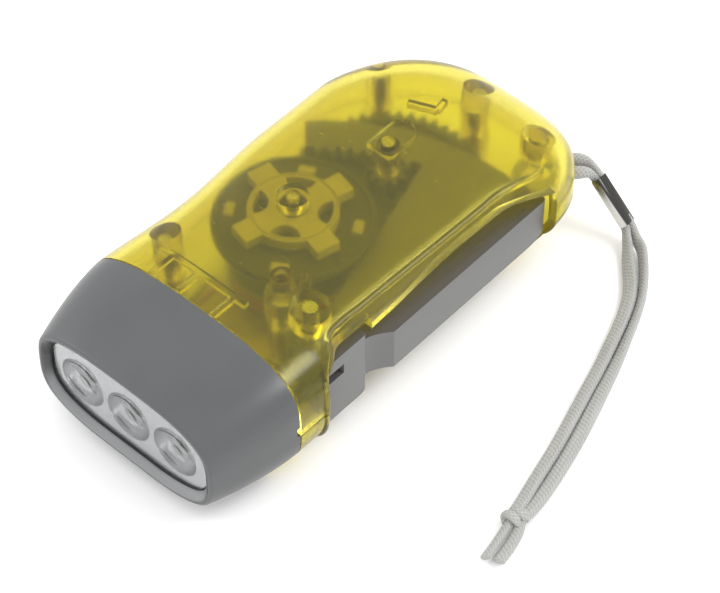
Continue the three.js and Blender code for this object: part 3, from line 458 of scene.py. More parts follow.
class Effects:
    """Shader node groups that several finishes share, each built once."""

    made: dict[str, bpy.types.NodeTree] = {}

    @classmethod
    def group(cls, name: str, inputs: Sequence[str], outputs: Sequence[str],
              fill: Callable[[Graph, bpy.types.Node], Sequence[bpy.types.NodeSocket]]) -> bpy.types.NodeTree:
        """Return a group, and build it the first time.

        Args:
            name: the group's name.
            inputs: names of its number inputs, after its Vector input.
            outputs: names of its number outputs.
            fill: builds the nodes between them, and returns a socket for each output.

        Returns:
            The group's tree.
        """
        if name not in cls.made:
            tree = bpy.data.node_groups.new(name, "ShaderNodeTree")
            tree.interface.new_socket("Vector", in_out="INPUT", socket_type="NodeSocketVector")
            for way, names in (("INPUT", inputs), ("OUTPUT", outputs)):
                for socket in names:
                    tree.interface.new_socket(socket, in_out=way, socket_type="NodeSocketFloat")
            graph = Graph(tree)
            given, out = graph.add("NodeGroupInput"), graph.add("NodeGroupOutput")
            for socket, value in zip(outputs, fill(graph, given)):
                graph.feed(value, out, socket)
            cls.made[name] = tree
        return cls.made[name]

    @classmethod
    def grain(cls) -> bpy.types.NodeTree:
        """Return the spark-eroded grain of a mould: a broad tone and a fine height.

        Returns:
            The group's tree.
        """

        def fill(graph: Graph, given: bpy.types.Node) -> tuple[bpy.types.NodeSocket, ...]:
            """Lay a broad noise and a fine one.

            Args:
                graph: the group's tree.
                given: the group's inputs.

            Returns:
                The tone and the height.
            """
            place, scale = given.outputs["Vector"], given.outputs["Scale"]
            broad = graph.noise(place, graph.sum_of("MULTIPLY", scale, 0.03), 2.0)
            return broad, graph.noise(place, scale, 3.0, Roughness=0.6)

        return cls.group("mould_grain", ["Scale"], ["Tone", "Height"], fill)

    @classmethod
    def scuffs(cls) -> bpy.types.NodeTree:
        """Return sparse fine rubbing marks as a mask.

        Returns:
            The group's tree.
        """

        def fill(graph: Graph, given: bpy.types.Node) -> tuple[bpy.types.NodeSocket, ...]:
            """Stretch a noise and keep only its peaks.

            Args:
                graph: the group's tree.
                given: the group's inputs.

            Returns:
                The mask.
            """
            stretch = graph.add("ShaderNodeMapping", {"Vector": given.outputs["Vector"], "Rotation": (0.3, 0.2, 0.6),
                                                      "Scale": (1.0, 9.0, 4.0)})
            lines = graph.noise(stretch.outputs[0], given.outputs["Scale"], 4.0, Roughness=0.7)
            return (graph.span(lines, 0, 1, 0.62, 0.78),)

        return cls.group("rubbing_marks", ["Scale"], ["Mask"], fill)

    @classmethod
    def brushed(cls) -> bpy.types.NodeTree:
        """Return long fine lines along X as a height.

        Returns:
            The group's tree.
        """

        def fill(graph: Graph, given: bpy.types.Node) -> tuple[bpy.types.NodeSocket, ...]:
            """Draw a noise out along X."""
            stretch = graph.add("ShaderNodeMapping", {"Vector": given.outputs["Vector"], "Scale": (0.05, 1.0, 1.0)})
            return (graph.noise(stretch.outputs[0], given.outputs["Scale"], 2.0),)

        return cls.group("brushed_lines", ["Scale"], ["Height"], fill)

    @classmethod
    def braid(cls) -> bpy.types.NodeTree:
        """Return crossing yarns on a UV map: a height and which yarn is on top.

        Returns:
            The group's tree.
        """

        def fill(graph: Graph, given: bpy.types.Node) -> tuple[bpy.types.NodeSocket, ...]:
            """Cross two waves that run round the cord in opposite directions.

            Args:
                graph: the group's tree.
                given: the group's inputs.

            Returns:
                The height, and which yarn is on top.
            """
            apart = graph.add("ShaderNodeSeparateXYZ", {0: given.outputs["Vector"]})
            across = graph.sum_of("MULTIPLY", apart.outputs[0], given.outputs["Across"])
            along = graph.sum_of("MULTIPLY", apart.outputs[1], given.outputs["Along"])
            waves = [graph.add("ShaderNodeMath", {0: graph.sum_of(how, along, across)}, operation="SINE").outputs[0]
                     for how in ("ADD", "SUBTRACT")]
            return graph.sum_of("MAXIMUM", *waves), graph.sum_of("GREATER_THAN", *waves)

        return cls.group("braided_yarns", ["Across", "Along"], ["Height", "Over"], fill)


@dataclass(frozen=True)
class Finish:
    """A finish with a Principled shader, which the kinds below dress."""

    name: str
    slot: str
    colour: Colour
    roughness: float = 0.5

    def material(self) -> bpy.types.Material:
        """Return the finish's material, made once.

        Returns:
            The material.
        """
        if self.name in bpy.data.materials:
            return bpy.data.materials[self.name]
        made = bpy.data.materials.new(self.name)
        made.use_nodes = True
        graph = Graph(made.node_tree)
        shader = made.node_tree.nodes["Principled BSDF"]
        graph.feed(shade(self.colour), shader, "Base Color")
        graph.feed(self.roughness, shader, "Roughness")
        self.dress(graph, shader)
        return made

    def dress(self, graph: Graph, shader: bpy.types.Node) -> None:
        """Add the finish's own nodes."""

    def effect(self, graph: Graph, tree: bpy.types.NodeTree, **values: float) -> bpy.types.Node:
        """Place a shared effect on Object coordinates and return its node."""
        place = graph.add("ShaderNodeTexCoord").outputs["Object"]
        return graph.add("ShaderNodeGroup", {"Vector": place, **values}, node_tree=tree)

    def bump(self, graph: Graph, shader: bpy.types.Node, height: bpy.types.NodeSocket, depth: float,
             strength: float) -> None:
        """Feed a height to the shader's normal."""
        node = graph.add("ShaderNodeBump", {"Height": height, "Distance": depth * MM, "Strength": strength})
        graph.feed(node.outputs[0], shader, "Normal")

    # The mask of the painted top colours: light and shade painted by which way a face points.
    def facing_up(self, graph: Graph, normal: str, start: float, end: float) -> bpy.types.NodeSocket:
        """Return how far a surface faces up, from 0 at a start to 1 at an end of its normal's Z.

        Args:
            graph: the material's tree.
            normal: the name of the normal's output.
            start: the Z that gives 0.
            end: the Z that gives 1.

        Returns:
            The share from 0 to 1.
        """
        shape = graph.add("ShaderNodeNewGeometry")
        apart = graph.add("ShaderNodeSeparateXYZ", {0: shape.outputs[normal]})
        return graph.span(apart.outputs[2], 0, 1, start, end)


@dataclass(frozen=True)
class Moulded(Finish):
    """Opaque moulded plastic with grain, rubbing marks and an optional top colour that paints light and shade onto its
    upward faces.
    """

    grain: float = 2600
    depth: float = 0.02
    tone: float = 0.12
    marks: float = 0.12
    mark_scale: float = 350
    painted_top_colour: Colour | None = None
    painted_top_span: tuple[float, float] = (0.75, 0.97)

    def dress(self, graph: Graph, shader: bpy.types.Node) -> None:
        """Vary the colour and roughness, and grain the surface.

        Args:
            graph: the material's tree.
            shader: its shader.
        """
        grain = self.effect(graph, Effects.grain(), Scale=self.grain).outputs
        marks = self.effect(graph, Effects.scuffs(), Scale=self.mark_scale)
        colour = graph.blend(grain["Tone"], shade(self.colour, 1 - self.tone), shade(self.colour, 1 + self.tone))
        # Painted light and shade: upward faces take the top colour, which is painted shade under the case's lip on the
        # lever grip and painted light on the bezel's lower bevel.
        if self.painted_top_colour:
            upper = self.facing_up(graph, "True Normal", *self.painted_top_span)
            colour = graph.blend(upper, colour, shade(self.painted_top_colour))
        rubbed = graph.sum_of("MULTIPLY", marks.outputs["Mask"], self.marks)
        graph.feed(graph.blend(rubbed, colour, shade(self.colour, 1.5, 0.02)), shader, "Base Color")
        rough = graph.span(grain["Tone"], self.roughness - 0.06, self.roughness + 0.06, 0.3, 0.7)
        graph.feed(rough, shader, "Roughness")
        self.bump(graph, shader, grain["Height"], self.depth, 0.35)


@dataclass(frozen=True)
class ClearWindow(Finish):
    """Colourless clear plastic or epoxy that lets lamps light what is behind it."""

    haze: float = 0
    bend: float = 1.46
    mark_scale: float = 300
    mark_depth: float = 0.12
    lamp_tint: Colour = (0.96, 0.97, 0.98)

    def dress(self, graph: Graph, shader: bpy.types.Node) -> None:
        """Make it clear, with faint marks in its gloss, and pass lamp light tinted.

        Args:
            graph: the material's tree.
            shader: its shader.
        """
        graph.feed(1 - self.haze, shader, "Transmission Weight")
        graph.feed(self.bend, shader, "IOR")
        marks = self.effect(graph, Effects.scuffs(), Scale=self.mark_scale)
        rough = graph.span(marks.outputs["Mask"], self.roughness, self.roughness + self.mark_depth)
        graph.feed(rough, shader, "Roughness")
        clear = graph.add("ShaderNodeBsdfTransparent", {"Color": shade(self.lamp_tint)})
        path = graph.add("ShaderNodeLightPath")
        mixed = graph.add("ShaderNodeMixShader", {0: path.outputs["Is Shadow Ray"], 1: shader.outputs[0],
                                                  2: clear.outputs[0]})
        graph.feed(mixed.outputs[0], graph.tree.nodes["Material Output"], "Surface")


@dataclass(frozen=True)
class ClearShell(ClearWindow):
    """Dyed clear plastic: light passes tinted, with a little haze and a glossy skin."""

    haze: float = 0.035
    bend: float = 1.32
    mark_scale: float = 250
    mark_depth: float = 0.15
    lamp_tint: Colour = (0.86, 0.79, 0.24)
    deep: Colour = (0.55, 0.44, 0.03)

    def dress(self, graph: Graph, shader: bpy.types.Node) -> None:
        """Let light through, deepen the dye at a slant and ripple the skin a little.

        Args:
            graph: the material's tree.
            shader: its shader.
        """
        super().dress(graph, shader)
        grain = self.effect(graph, Effects.grain(), Scale=420).outputs
        flow = graph.blend(grain["Tone"], shade(self.colour, 0.94), shade(self.colour))
        slant = graph.add("ShaderNodeLayerWeight", {"Blend": 0.6})
        graph.feed(graph.blend(slant.outputs["Facing"], flow, shade(self.deep)), shader, "Base Color")
        self.bump(graph, shader, grain["Height"], 0.05, 0.06)


@dataclass(frozen=True)
class Metal(Finish):
    """Bare or plated metal with fine lines and an optional painted dark reflection on its upward faces."""

    lines: float = 3000
    depth: float = 0.01
    painted_top_colour: Colour | None = None

    def dress(self, graph: Graph, shader: bpy.types.Node) -> None:
        """Make it metal and brush it.

        Args:
            graph: the material's tree.
            shader: its shader.
        """
        graph.feed(1, shader, "Metallic")
        brushed = self.effect(graph, Effects.brushed(), Scale=self.lines).outputs["Height"]
        rough = graph.span(brushed, self.roughness * 0.7, self.roughness * 1.4, 0.3, 0.7)
        graph.feed(rough, shader, "Roughness")
        grain = self.effect(graph, Effects.grain(), Scale=900)
        colour = graph.blend(grain.outputs["Tone"], shade(self.colour, 0.8), shade(self.colour))
        # Painted dark reflection: upward faces take the darker top colour, as on the chrome clip.
        if self.painted_top_colour:
            colour = graph.blend(self.facing_up(graph, "Normal", 0.4, 0.55), colour, shade(self.painted_top_colour))
        graph.feed(colour, shader, "Base Color")
        self.bump(graph, shader, brushed, self.depth, 0.2)


@dataclass(frozen=True)
class Woven(Finish):
    """Braided yarn on the cord's own UV map: U round it, V along it in millimetres."""

    across: float = 7
    along: float = 7.2
    streak_stretch: float = 12.0
    streak_scale: float = 2.2

    def dress(self, graph: Graph, shader: bpy.types.Node) -> None:
        """Paint shade between the yarns and raise them.

        Args:
            graph: the material's tree.
            shader: its shader.
        """
        place = graph.add("ShaderNodeUVMap", uv_map="cord").outputs[0]
        counts = {"Vector": place, "Across": self.across * 2 * math.pi, "Along": self.along}
        yarns = graph.add("ShaderNodeGroup", counts, node_tree=Effects.braid()).outputs
        grain = self.effect(graph, Effects.grain(), Scale=5000).outputs["Height"]
        # Painted shade in the hollows between the raised yarns: the low parts of the braid are darker.
        deep = graph.span(yarns["Height"], 0, 1, -0.2, 0.9)
        colour = graph.blend(deep, shade(self.colour, 0.8), shade(self.colour))
        apart = graph.add("ShaderNodeSeparateXYZ", {0: place})
        stretched = graph.sum_of("MULTIPLY", apart.outputs[0], self.streak_stretch)
        lengthwise = graph.add("ShaderNodeCombineXYZ", {0: apart.outputs[1], 1: stretched})
        streaks = graph.add("ShaderNodeGroup", {"Vector": lengthwise.outputs[0], "Scale": self.streak_scale},
                            node_tree=Effects.brushed())
        worn = graph.span(streaks.outputs["Height"], 0, 0.6, 0.35, 0.7)
        colour = graph.blend(worn, colour, shade(self.colour, 0.55))
        fuzz = graph.sum_of("MULTIPLY", grain, yarns["Over"])
        graph.feed(graph.blend(fuzz, colour, shade(self.colour, 1.18)), shader, "Base Color")
        graph.feed(0.25, shader, "Sheen Weight")
        height = graph.sum_of("ADD", yarns["Height"], graph.sum_of("MULTIPLY", grain, 0.5))
        self.bump(graph, shader, height, 0.08, 0.5)


SHELL = ClearShell("clear_yellow", "shell_yellow", (0.85, 0.795, 0.14), 0.19)
HEAD_GREY = Moulded("satin_grey", "head_grey", (0.066, 0.068, 0.07), 0.36)
# Painted shade and light on the bevel: darker than the head on its sides, with painted light on its upward faces along
# the bottom.
BEZEL = Moulded("bezel_grey", "head_grey", (0.025, 0.026, 0.027), 0.4, grain=900, tone=0.6,
                painted_top_colour=(0.2, 0.203, 0.206), painted_top_span=(-0.05, 0.4))
# Painted shade: the grip's top face is darker, standing for the shadow under the case's overhanging lip.
LEVER_GREY = Moulded("grip_grey", "lever_grey", (0.132, 0.132, 0.131), 0.45, painted_top_colour=(0.056, 0.051, 0.052))
WEB_GREY = Moulded("web_grey", "lever_grey", (0.105, 0.102, 0.092), 0.5)
GEAR_DARK = Moulded("gear_black", "gear_dark", (0.04, 0.04, 0.038), 0.45)
DISC_DARK = Moulded("flywheel_black", "flywheel_dark", (0.022, 0.021, 0.02), 0.5)
SPIDER_PALE = Moulded("spider_tan", "spider_pale", (0.3, 0.268, 0.16), 0.45)
SPOOL_DARK = Moulded("spool_black", "spool_dark", (0.04, 0.04, 0.04), 0.5)
MAGNET = Moulded("ferrite", "magnet_dark", (0.05, 0.05, 0.055), 0.65)
SLIDE_BLACK = Moulded("slide_moulding", "slide_black", (0.004, 0.004, 0.004), 0.7)
WIRE_RED = Moulded("red_sleeve", "wire_red", (0.3, 0.03, 0.02), 0.4)
WIRE_BLACK = Moulded("black_sleeve", "wire_black", (0.015, 0.015, 0.015), 0.4)
BOARD = Moulded("circuit_board", "board_green", (0.05, 0.16, 0.06), 0.35)
PIN_STEEL = Metal("ground_steel", "pin_steel", (0.62, 0.62, 0.62), 0.25)
SCREW_STEEL = Metal("screw_zinc", "screw_steel", (0.6, 0.6, 0.58), 0.35)
SPRING_STEEL = Metal("spring_wire", "spring_steel", (0.5, 0.5, 0.5), 0.3)
POLE_STEEL = Metal("pressed_steel", "pole_steel", (0.4, 0.4, 0.4), 0.4)
COPPER = Metal("enamelled_copper", "winding_copper", (0.62, 0.25, 0.09), 0.3)
SILVERED = Metal("silvered", "reflector_silver", (0.42, 0.43, 0.44), 0.12, lines=1500, depth=0.14)
# Painted dark reflection: the clip's upward faces are nearly black.
CHROME = Metal("chrome_painted_dark_top", "clip_chrome", (0.62, 0.61, 0.59), 0.14, painted_top_colour=(0.055, 0.054, 0.051))
WINDOW = ClearWindow("clear_window", "window_clear", (0.98, 0.98, 0.98), 0.03)
LED_CLEAR = ClearWindow("lamp_epoxy", "led_clear", (0.97, 0.98, 1.0), 0.02)
STRAP = Woven("woven_grey", "strap_grey", (0.36, 0.36, 0.348), 0.85)


def coat(obj: bpy.types.Object, finish: Finish) -> None:
    """Give an object its finish's material.

    Args:
        obj: the object.
        finish: its finish.
    """
    obj.data.materials.clear()
    obj.data.materials.append(finish.material())


def dress(obj: bpy.types.Object, finish: Finish, *replaces: str, body: Body = Body.HOUSING,
          angle: float | None = None) -> bpy.types.Object:
    """Give a piece its finish and its body, and hide the frame's nodes that it stands for.

    Args:
        obj: the piece.
        finish: its finish.
        replaces: names of the frame's nodes that it stands for.
        body: the body that it rides on.
        angle: shade it smooth first, apart from edges sharper than this.

    Returns:
        The piece.
    """
    if angle is not None:
        Bench.soften(obj, angle)
    coat(obj, finish)
    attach(obj, body.value)
    if replaces:
        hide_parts(*replaces)
    LOG.info("%s: %d faces", obj.name, len(obj.data.polygons))
    return obj


@dataclass(frozen=True)
class Section:
    """Sizes of one ring, and how square each quarter is, from the upper right round to the lower right."""

    left: float
    right: float
    half: float
    middle: float
    powers: tuple[float, float, float, float]


@dataclass
class CaseForm:
    """The outer form of the case, which shells, head and lips share."""

    front: float = -51.75
    tail: float = 53.25
    half_width: float = 27.5
    mid: float = 14.7
    head_length: float = 17.8
    wall: float = 1.8
    gap: float = 0.3
    collar_power: float = 4.1
    lip_power: float = 8.4
    left_powers: tuple[float, float] = (3.3, 4.0)
    lower_right_powers: tuple[float, float] = (2.5, 1.65)
    flat_share: float = 0.984
    waist_depth: float = 1.6
    waist_along: float = 38.5
    waist_reach: float = 24
    left_inset: float = 0.8
    collar_inset: float = 1.5
    recess_depth: float = 3.5
    recess_start: float = 26.1
    recess_front_ramp: float = 5.6
    recess_end: float = 89
    recess_back_ramp: float = 13
    left_round: float = 25.9
    right_round: float = 19
    crown: float = 17
    round_powers: tuple[float, float, float] = (1.6, 2.7, 2.2)
    tail_share: float = 0.998
    joint_bow: float = 1.2
    around: int = 128

    @property
    def joint(self) -> float:
        """Where the head meets the shells."""
        return self.front + self.head_length

    def section(self, y: float) -> Section:
        """Return the sizes of the ring at a place along the case.

        Args:
            y: the place.

        Returns:
            The ring's sizes.
        """
        along = y - self.front
        from_waist = min(1, abs(along - self.waist_along) / self.waist_reach)
        waist = self.waist_depth * (1 + math.cos(math.pi * from_waist)) / 2
        ramp = smooth(self.recess_start, self.recess_start + self.recess_front_ramp, along)
        ramp -= smooth(self.recess_end - self.recess_back_ramp, self.recess_end, along)
        inset = self.collar_inset * (1 - smooth(self.head_length, self.recess_end, along))

        def fade(length: float, power: float) -> float:
            """Return the share of a size that is left as the tail rounds over."""
            share = max(0.0, (y - (self.tail - length)) / length) * self.tail_share
            return (1 - share**power) ** (1 / power)

        left_power, right_power, crown_power = self.round_powers
        return Section(
            (self.half_width - self.left_inset - waist) * fade(self.left_round, left_power),
            (self.half_width - inset - self.recess_depth * ramp) * fade(self.right_round, right_power),
            self.mid * fade(self.crown, crown_power),
            self.mid,
            (mix(self.collar_power, self.lip_power, ramp), *self.left_powers,
             mix(*self.lower_right_powers, smooth(18, 44, y))),
        )

    def ring(self, y: float, section: Section, inset: float = 0,
             bow: Callable[[float, float], float] | None = None) -> Ring:
        """Return one ring of the form.

        Args:
            y: the ring's place.
            section: its sizes.
            inset: how far it is drawn in.
            bow: moves a point along Y by its shares across and up.

        Returns:
            The ring's points.
        """
        left, right, half = (max(0.05, size - inset) for size in (section.left, section.right, section.half))
        points = []
        for i in range(self.around):
            turn = 2 * math.pi * i / self.around
            power = section.powers[4 * i // self.around]
            across = math.copysign(abs(math.cos(turn)) ** (2 / power), math.cos(turn))
            up = math.copysign(abs(math.sin(turn)) ** (2 / power), math.sin(turn))
            if up < 0:
                up = max(up, -self.flat_share) / self.flat_share
            shift = bow(across, up) if bow else 0
            points.append(Vector((across * (right if across > 0 else left), y + shift, section.middle + up * half)))
        return points

    def bow_back(self, across: float, up: float) -> float:
        """Return how far the shells' front edge bows back over the top of the head."""
        return self.joint_bow * (1 - across * across) * max(0.0, up)

    def stations(self) -> list[float]:
        """Return the places of the rings, closer where the tail rounds over.

        Returns:
            The places along the case.
        """
        rounding = self.tail - self.crown
        straight = [self.joint, *steps(self.joint + 1.6, rounding, 56)]
        turns = steps(0, math.pi / 2, 30)[1:]
        return straight + [rounding + self.crown * math.sin(turn) for turn in turns]

    def solid(self, name: str, inset: float = 0, front_over: float = 0) -> bpy.types.Object:
        """Return the case as a closed solid, drawn in on every side but the front.

        Args:
            name: its name.
            inset: how far it is drawn in.
            front_over: how far it reaches past the front.

        Returns:
            The solid.
        """
        shrink = (self.tail - inset - self.joint) / (self.tail - self.joint)
        rings = []
        for index, y in enumerate(self.stations()):
            place = self.joint + (y - self.joint) * shrink - (front_over if index == 0 else 0)
            rings.append(self.ring(place, self.section(y), inset, None if index else self.bow_back))
        return Bench.wrap(name, rings)

    def crest(self, y: float, degrees: float, lift: float = 0) -> Vector:
        """Return a point on the right-hand skin at an angle up or down from its side.

        Args:
            y: its place along the case.
            degrees: the angle, up or down.
            lift: how far it stands off the skin.

        Returns:
            The point.
        """
        section = self.section(y)
        power, turn = section.powers[0 if degrees >= 0 else 3], math.radians(abs(degrees))
        across, up = math.cos(turn) ** (2 / power), math.sin(turn) ** (2 / power)
        side = math.copysign(1, degrees)
        away = Vector((across ** (power - 1) / section.right, 0, side * up ** (power - 1) / section.half)).normalized()
        return Vector((across * section.right, y, section.middle + side * up * section.half)) + away * lift


def tube(name: str, path: Sequence[Vector], radius: float, sides: int = 12) -> bpy.types.Object:
    """Run a round tube along a path.

    Args:
        name: the name of the piece.
        path: points close together.
        radius: the tube's radius.
        sides: how many sides.

    Returns:
        The closed tube.
    """
    rings = []
    side = Vector((0, 0, 1)).cross(path[1] - path[0])
    if side.length < 0.1 * (path[1] - path[0]).length:
        side = Vector((1, 0, 0))
    for index, point in enumerate(path):
        along = (path[min(index + 1, len(path) - 1)] - path[max(index - 1, 0)]).normalized()
        side = (side - along * side.dot(along)).normalized()
        other = along.cross(side)
        rings.append([
            point + side * (radius * math.cos(turn)) + other * (radius * math.sin(turn))
            for turn in (2 * math.pi * k / sides for k in range(sides))
        ])
    return Bench.wrap(name, rings)


def curve_through(points: Sequence[Vector], spacing: float) -> list[Vector]:
    """Return evenly spaced points on a smooth curve through some others.

    Args:
        points: the points to pass through.
        spacing: the distance between the returned points.

    Returns:
        Points on a Catmull-Rom curve.
    """
    ends = [points[0] * 2 - points[1], *points, points[-1] * 2 - points[-2]]
    fine: list[Vector] = []
    parts = 24
    for a, b, c, d in zip(ends, ends[1:], ends[2:], ends[3:]):
        for i in range(parts):
            t = i / parts
            fine.append(
                (b * 2 + (c - a) * t + (a * 2 - b * 5 + c * 4 - d) * t**2 + (b * 3 - a - c * 3 + d) * t**3) / 2
            )
    fine.append(points[-1].copy())
    lengths = [0.0]
    for a, b in zip(fine, fine[1:]):
        lengths.append(lengths[-1] + (b - a).length)
    count = max(2, round(lengths[-1] / spacing) + 1)
    spaced, index = [], 0
    for target in steps(0, lengths[-1], count):
        while index < len(fine) - 2 and lengths[index + 1] < target:
            index += 1
        share = (target - lengths[index]) / max(1e-9, lengths[index + 1] - lengths[index])
        spaced.append(fine[index].lerp(fine[index + 1], min(1, share)))
    return spaced


@dataclass
class WristStrap:
    """Two braided cords from the post in the tail, through a chrome clip, to a knot and two short ends."""

    shift: Vector = field(default_factory=lambda: Vector((0, 0.75, 0)))
    post: Plan = (16.7, 42.95)
    post_reach: float = 3.3
    wide: float = 3.1
    flat: float = 1.5
    braid_lift: float = 0.06
    clip_wall: float = 0.35
    clip_size: tuple[float, float, float] = (10.9, 3.4, 2.4)
    clip_roll: float = -18
    clip_ends: tuple[Vector, Vector] = (Vector((24.8, 52.75, 11.6)), Vector((33.0, 52.35, 4.7)))
    knot_radius: float = 1.3
    knot_turns: float = 1.7
    knot_half_length: float = 1.5
    knot_flatness: float = 0.7
    knot_lean: float = -14
    knot_place: Vector = field(default_factory=lambda: Vector((60.9, -15.7, 2.45)))
    outer_route: tuple[tuple[float, float, float], ...] = (
        (18.4, 49.2, 15.1), (19.8, 51.0, 14.9), (21.6, 52.7, 14.2), (23.3, 53.3, 12.9), (24.95, 53.3, 11.6),
        (28.95, 53.1, 8.3), (33.05, 52.9, 4.85), (35.7, 51.9, 2.8), (39.2, 49.8, 1.8), (45.8, 40.8, 1.6),
        (51.1, 27.6, 1.6), (54.9, 15.9, 1.6), (58.1, 5.3, 1.6), (60.3, -3.8, 1.6), (61.5, -10.6, 1.7),
        (61.9, -15.3, 2.4),
    )
    inner_route: tuple[tuple[float, float, float], ...] = (
        (20.6, 47.1, 14.6), (22.3, 49.2, 14.3), (23.3, 50.9, 13.6), (23.9, 51.8, 12.5), (24.75, 52.15, 11.3),
        (28.65, 51.95, 8.0), (32.75, 51.75, 4.55), (34.7, 50.3, 2.9), (37.2, 47.6, 1.8), (44.0, 39.1, 1.6),
        (49.1, 25.7, 1.6), (52.6, 13.8, 1.6), (55.7, 3.0, 1.6), (57.9, -6.2, 1.6), (59.4, -12.2, 1.8),
        (60.1, -15.3, 2.4),
    )
    end_routes: tuple[tuple[tuple[float, float, float], ...], ...] = (
        ((60.1, -15.4, 2.2), (60.8, -18.3, 1.7), (61.5, -21.8, 1.5), (62.1, -25.5, 1.5)),
        ((61.9, -15.4, 2.2), (63.1, -17.8, 1.7), (63.9, -21.0, 1.5), (64.4, -24.6, 1.5)),
    )

    def braided(self, name: str, path: list[Vector], width: Callable[[float], float], thick: Callable[[float], float],
                roll: Callable[[float], float], sides: int = 40) -> bpy.types.Object:
        """Run a flat braided cord along a path, with raised yarns and a UV map along it.

        Args:
            name: the name of the piece.
            path: points close together.
            width: its width at a share of its length.
            thick: its thickness at a share of its length.
            roll: degrees that its flat side is rolled from level.
            sides: how many points go round it.

        Returns:
            The cord.
        """
        rings, length = [], 0.0
        runs = [0.0]
        for index, point in enumerate(path):
            share = index / (len(path) - 1)
            along = (path[min(index + 1, len(path) - 1)] - path[max(index - 1, 0)]).normalized()
            level = Vector((0, 0, 1)).cross(along).normalized()
            rise = along.cross(level)
            turn = math.radians(roll(share))
            side = level * math.cos(turn) + rise * math.sin(turn)
            other = along.cross(side)
            if index:
                length += (point - path[index - 1]).length
                runs.append(length)
            half_width, half_thick = width(share) / 2 - self.braid_lift, thick(share) / 2 - self.braid_lift
            ring = []
            for k in range(sides):
                angle = 2 * math.pi * k / sides
                phase = STRAP.across * angle
                yarn = max(math.sin(STRAP.along * length + phase), math.sin(STRAP.along * length - phase))
                raised = self.braid_lift * yarn
                across = math.copysign(abs(math.cos(angle)) ** 0.8, math.cos(angle))
                up = math.copysign(abs(math.sin(angle)) ** 0.8, math.sin(angle))
                ring.append(point + side * (across * (half_width + raised)) + other * (up * (half_thick + raised)))
            rings.append(ring)
        obj = Bench.wrap(name, rings)
        self.map_along(obj, path, runs, rings)
        Bench.soften(obj, 80)
        return obj

    def map_along(self, obj: bpy.types.Object, path: list[Vector], runs: list[float], rings: list[Ring]) -> None:
        """Give a cord its UV map: U round it from 0 to 1, V the length along it.

        Args:
            obj: the cord.
            path: the points of its path.
            runs: the length at each of them.
            rings: the rings of its skin.
        """
        places = {}
        for length, ring in zip(runs, rings):
            for k, point in enumerate(ring):
                places[tuple(round(v * MM, 6) for v in point)] = (k / len(ring), length)
        layer = obj.data.uv_layers.get("cord") or obj.data.uv_layers.new(name="cord")
        obj.data.uv_layers.active = layer
        vertices = obj.data.vertices
        for polygon in obj.data.polygons:
            uvs = [places.get(tuple(round(v, 6) for v in vertices[i].co), (0.5, 0.0)) for i in polygon.vertices]
            high = max(u for u, _ in uvs)
            for loop, (u, v) in zip(polygon.loop_indices, uvs):
                layer.data[loop].uv = (u + 1 if high - u > 0.5 else u, v)

    def cords(self) -> list[tuple[bpy.types.Object, list[Vector]]]:
        """Make both free cords.

        Returns:
            Each cord with the points of its path.
        """
        made = []
        rolls = {"outer": (70.0, 18.0, 0.35, 0.75), "inner": (70.0, 34.0, 0.16, 0.4)}
        for side, route in (("outer", self.outer_route), ("inner", self.inner_route)):
            path = curve_through([Vector(p) + self.shift for p in route], 0.22)
            cord = self.braided(
                f"strap_cord_{side}", path,
                lambda s: mix(mix(2.7, 1.75, smooth(0.03, 0.07, s)), self.wide, smooth(0.17, 0.28, s)),
                lambda s: mix(mix(1.9, 1.3, smooth(0.03, 0.07, s)), self.flat, smooth(0.17, 0.28, s)),
                lambda s, r=rolls[side]: mix(r[0], r[1], smooth(r[2], r[3], s)),
            )
            dress(cord, STRAP, f"strap_strand_{side}")
            made.append((cord, path))
        return made

    def bight(self) -> None:
        """Make the doubled stretch inside the case, round its post."""
        centre = Vector((*self.post, self.outer_route[0][2]))
        lean = math.atan2(21.5 - self.post[0], 50.2 + self.shift.y - self.post[1])
        forward, aside = Vector((math.sin(lean), math.cos(lean), 0)), Vector((math.cos(lean), -math.sin(lean), 0))
        reach = self.post_reach
        points = [
            Vector(self.outer_route[0]) + self.shift, centre + forward * (1.4 * reach) - aside * 1.9,
            centre - aside * reach, centre - forward * reach, centre + aside * reach,
            centre + forward * (1.4 * reach) + aside * 1.9, Vector(self.inner_route[0]) + self.shift,
        ]
        path = curve_through(points, 0.4)
        loop = self.braided("strap_bight", path, lambda s: 2.0, lambda s: 1.9, lambda s: 0, 28)
        dress(loop, STRAP, "strap_loop")

    def clip(self) -> bpy.types.Object:
        """Make the chrome clip: a folded band with rounded edges round both cords.

        Returns:
            The clip.
        """
        start, end = (p + self.shift for p in self.clip_ends)
        corner = [size / 2 for size in self.clip_size]
        obj = Bench.brick("crimped_clip", [-size for size in corner], corner)
        bpy.ops.object.mode_set(mode="EDIT")
        bpy.ops.mesh.select_mode(type="FACE")
        bpy.ops.object.mode_set(mode="OBJECT")
        for polygon in obj.data.polygons:
            polygon.select = abs(polygon.normal.x) > 0.5
        bpy.ops.object.mode_set(mode="EDIT")
        bpy.ops.mesh.delete(type="FACE")
        bpy.ops.object.mode_set(mode="OBJECT")
        Bench.round_edges(obj, 0.7, 4, 60)
        band = obj.modifiers.new("band", "SOLIDIFY")
        band.thickness = self.clip_wall * MM
        band.offset = -1
        Bench.take(obj)
        bpy.ops.object.modifier_apply(modifier=band.name)
        Bench.round_edges(obj, 0.08, 2, 50)
        direction = end - start
        turn = Matrix.Rotation(math.atan2(direction.y, direction.x), 4, "Z")
        tip = Matrix.Rotation(-math.asin(direction.z / direction.length), 4, "Y")
        roll = Matrix.Rotation(math.radians(self.clip_roll), 4, "X")
        obj.data.transform(Matrix.Translation((start + end) / 2 * MM) @ turn @ tip @ roll)
        return dress(obj, CHROME, "strap_clip", angle=30)

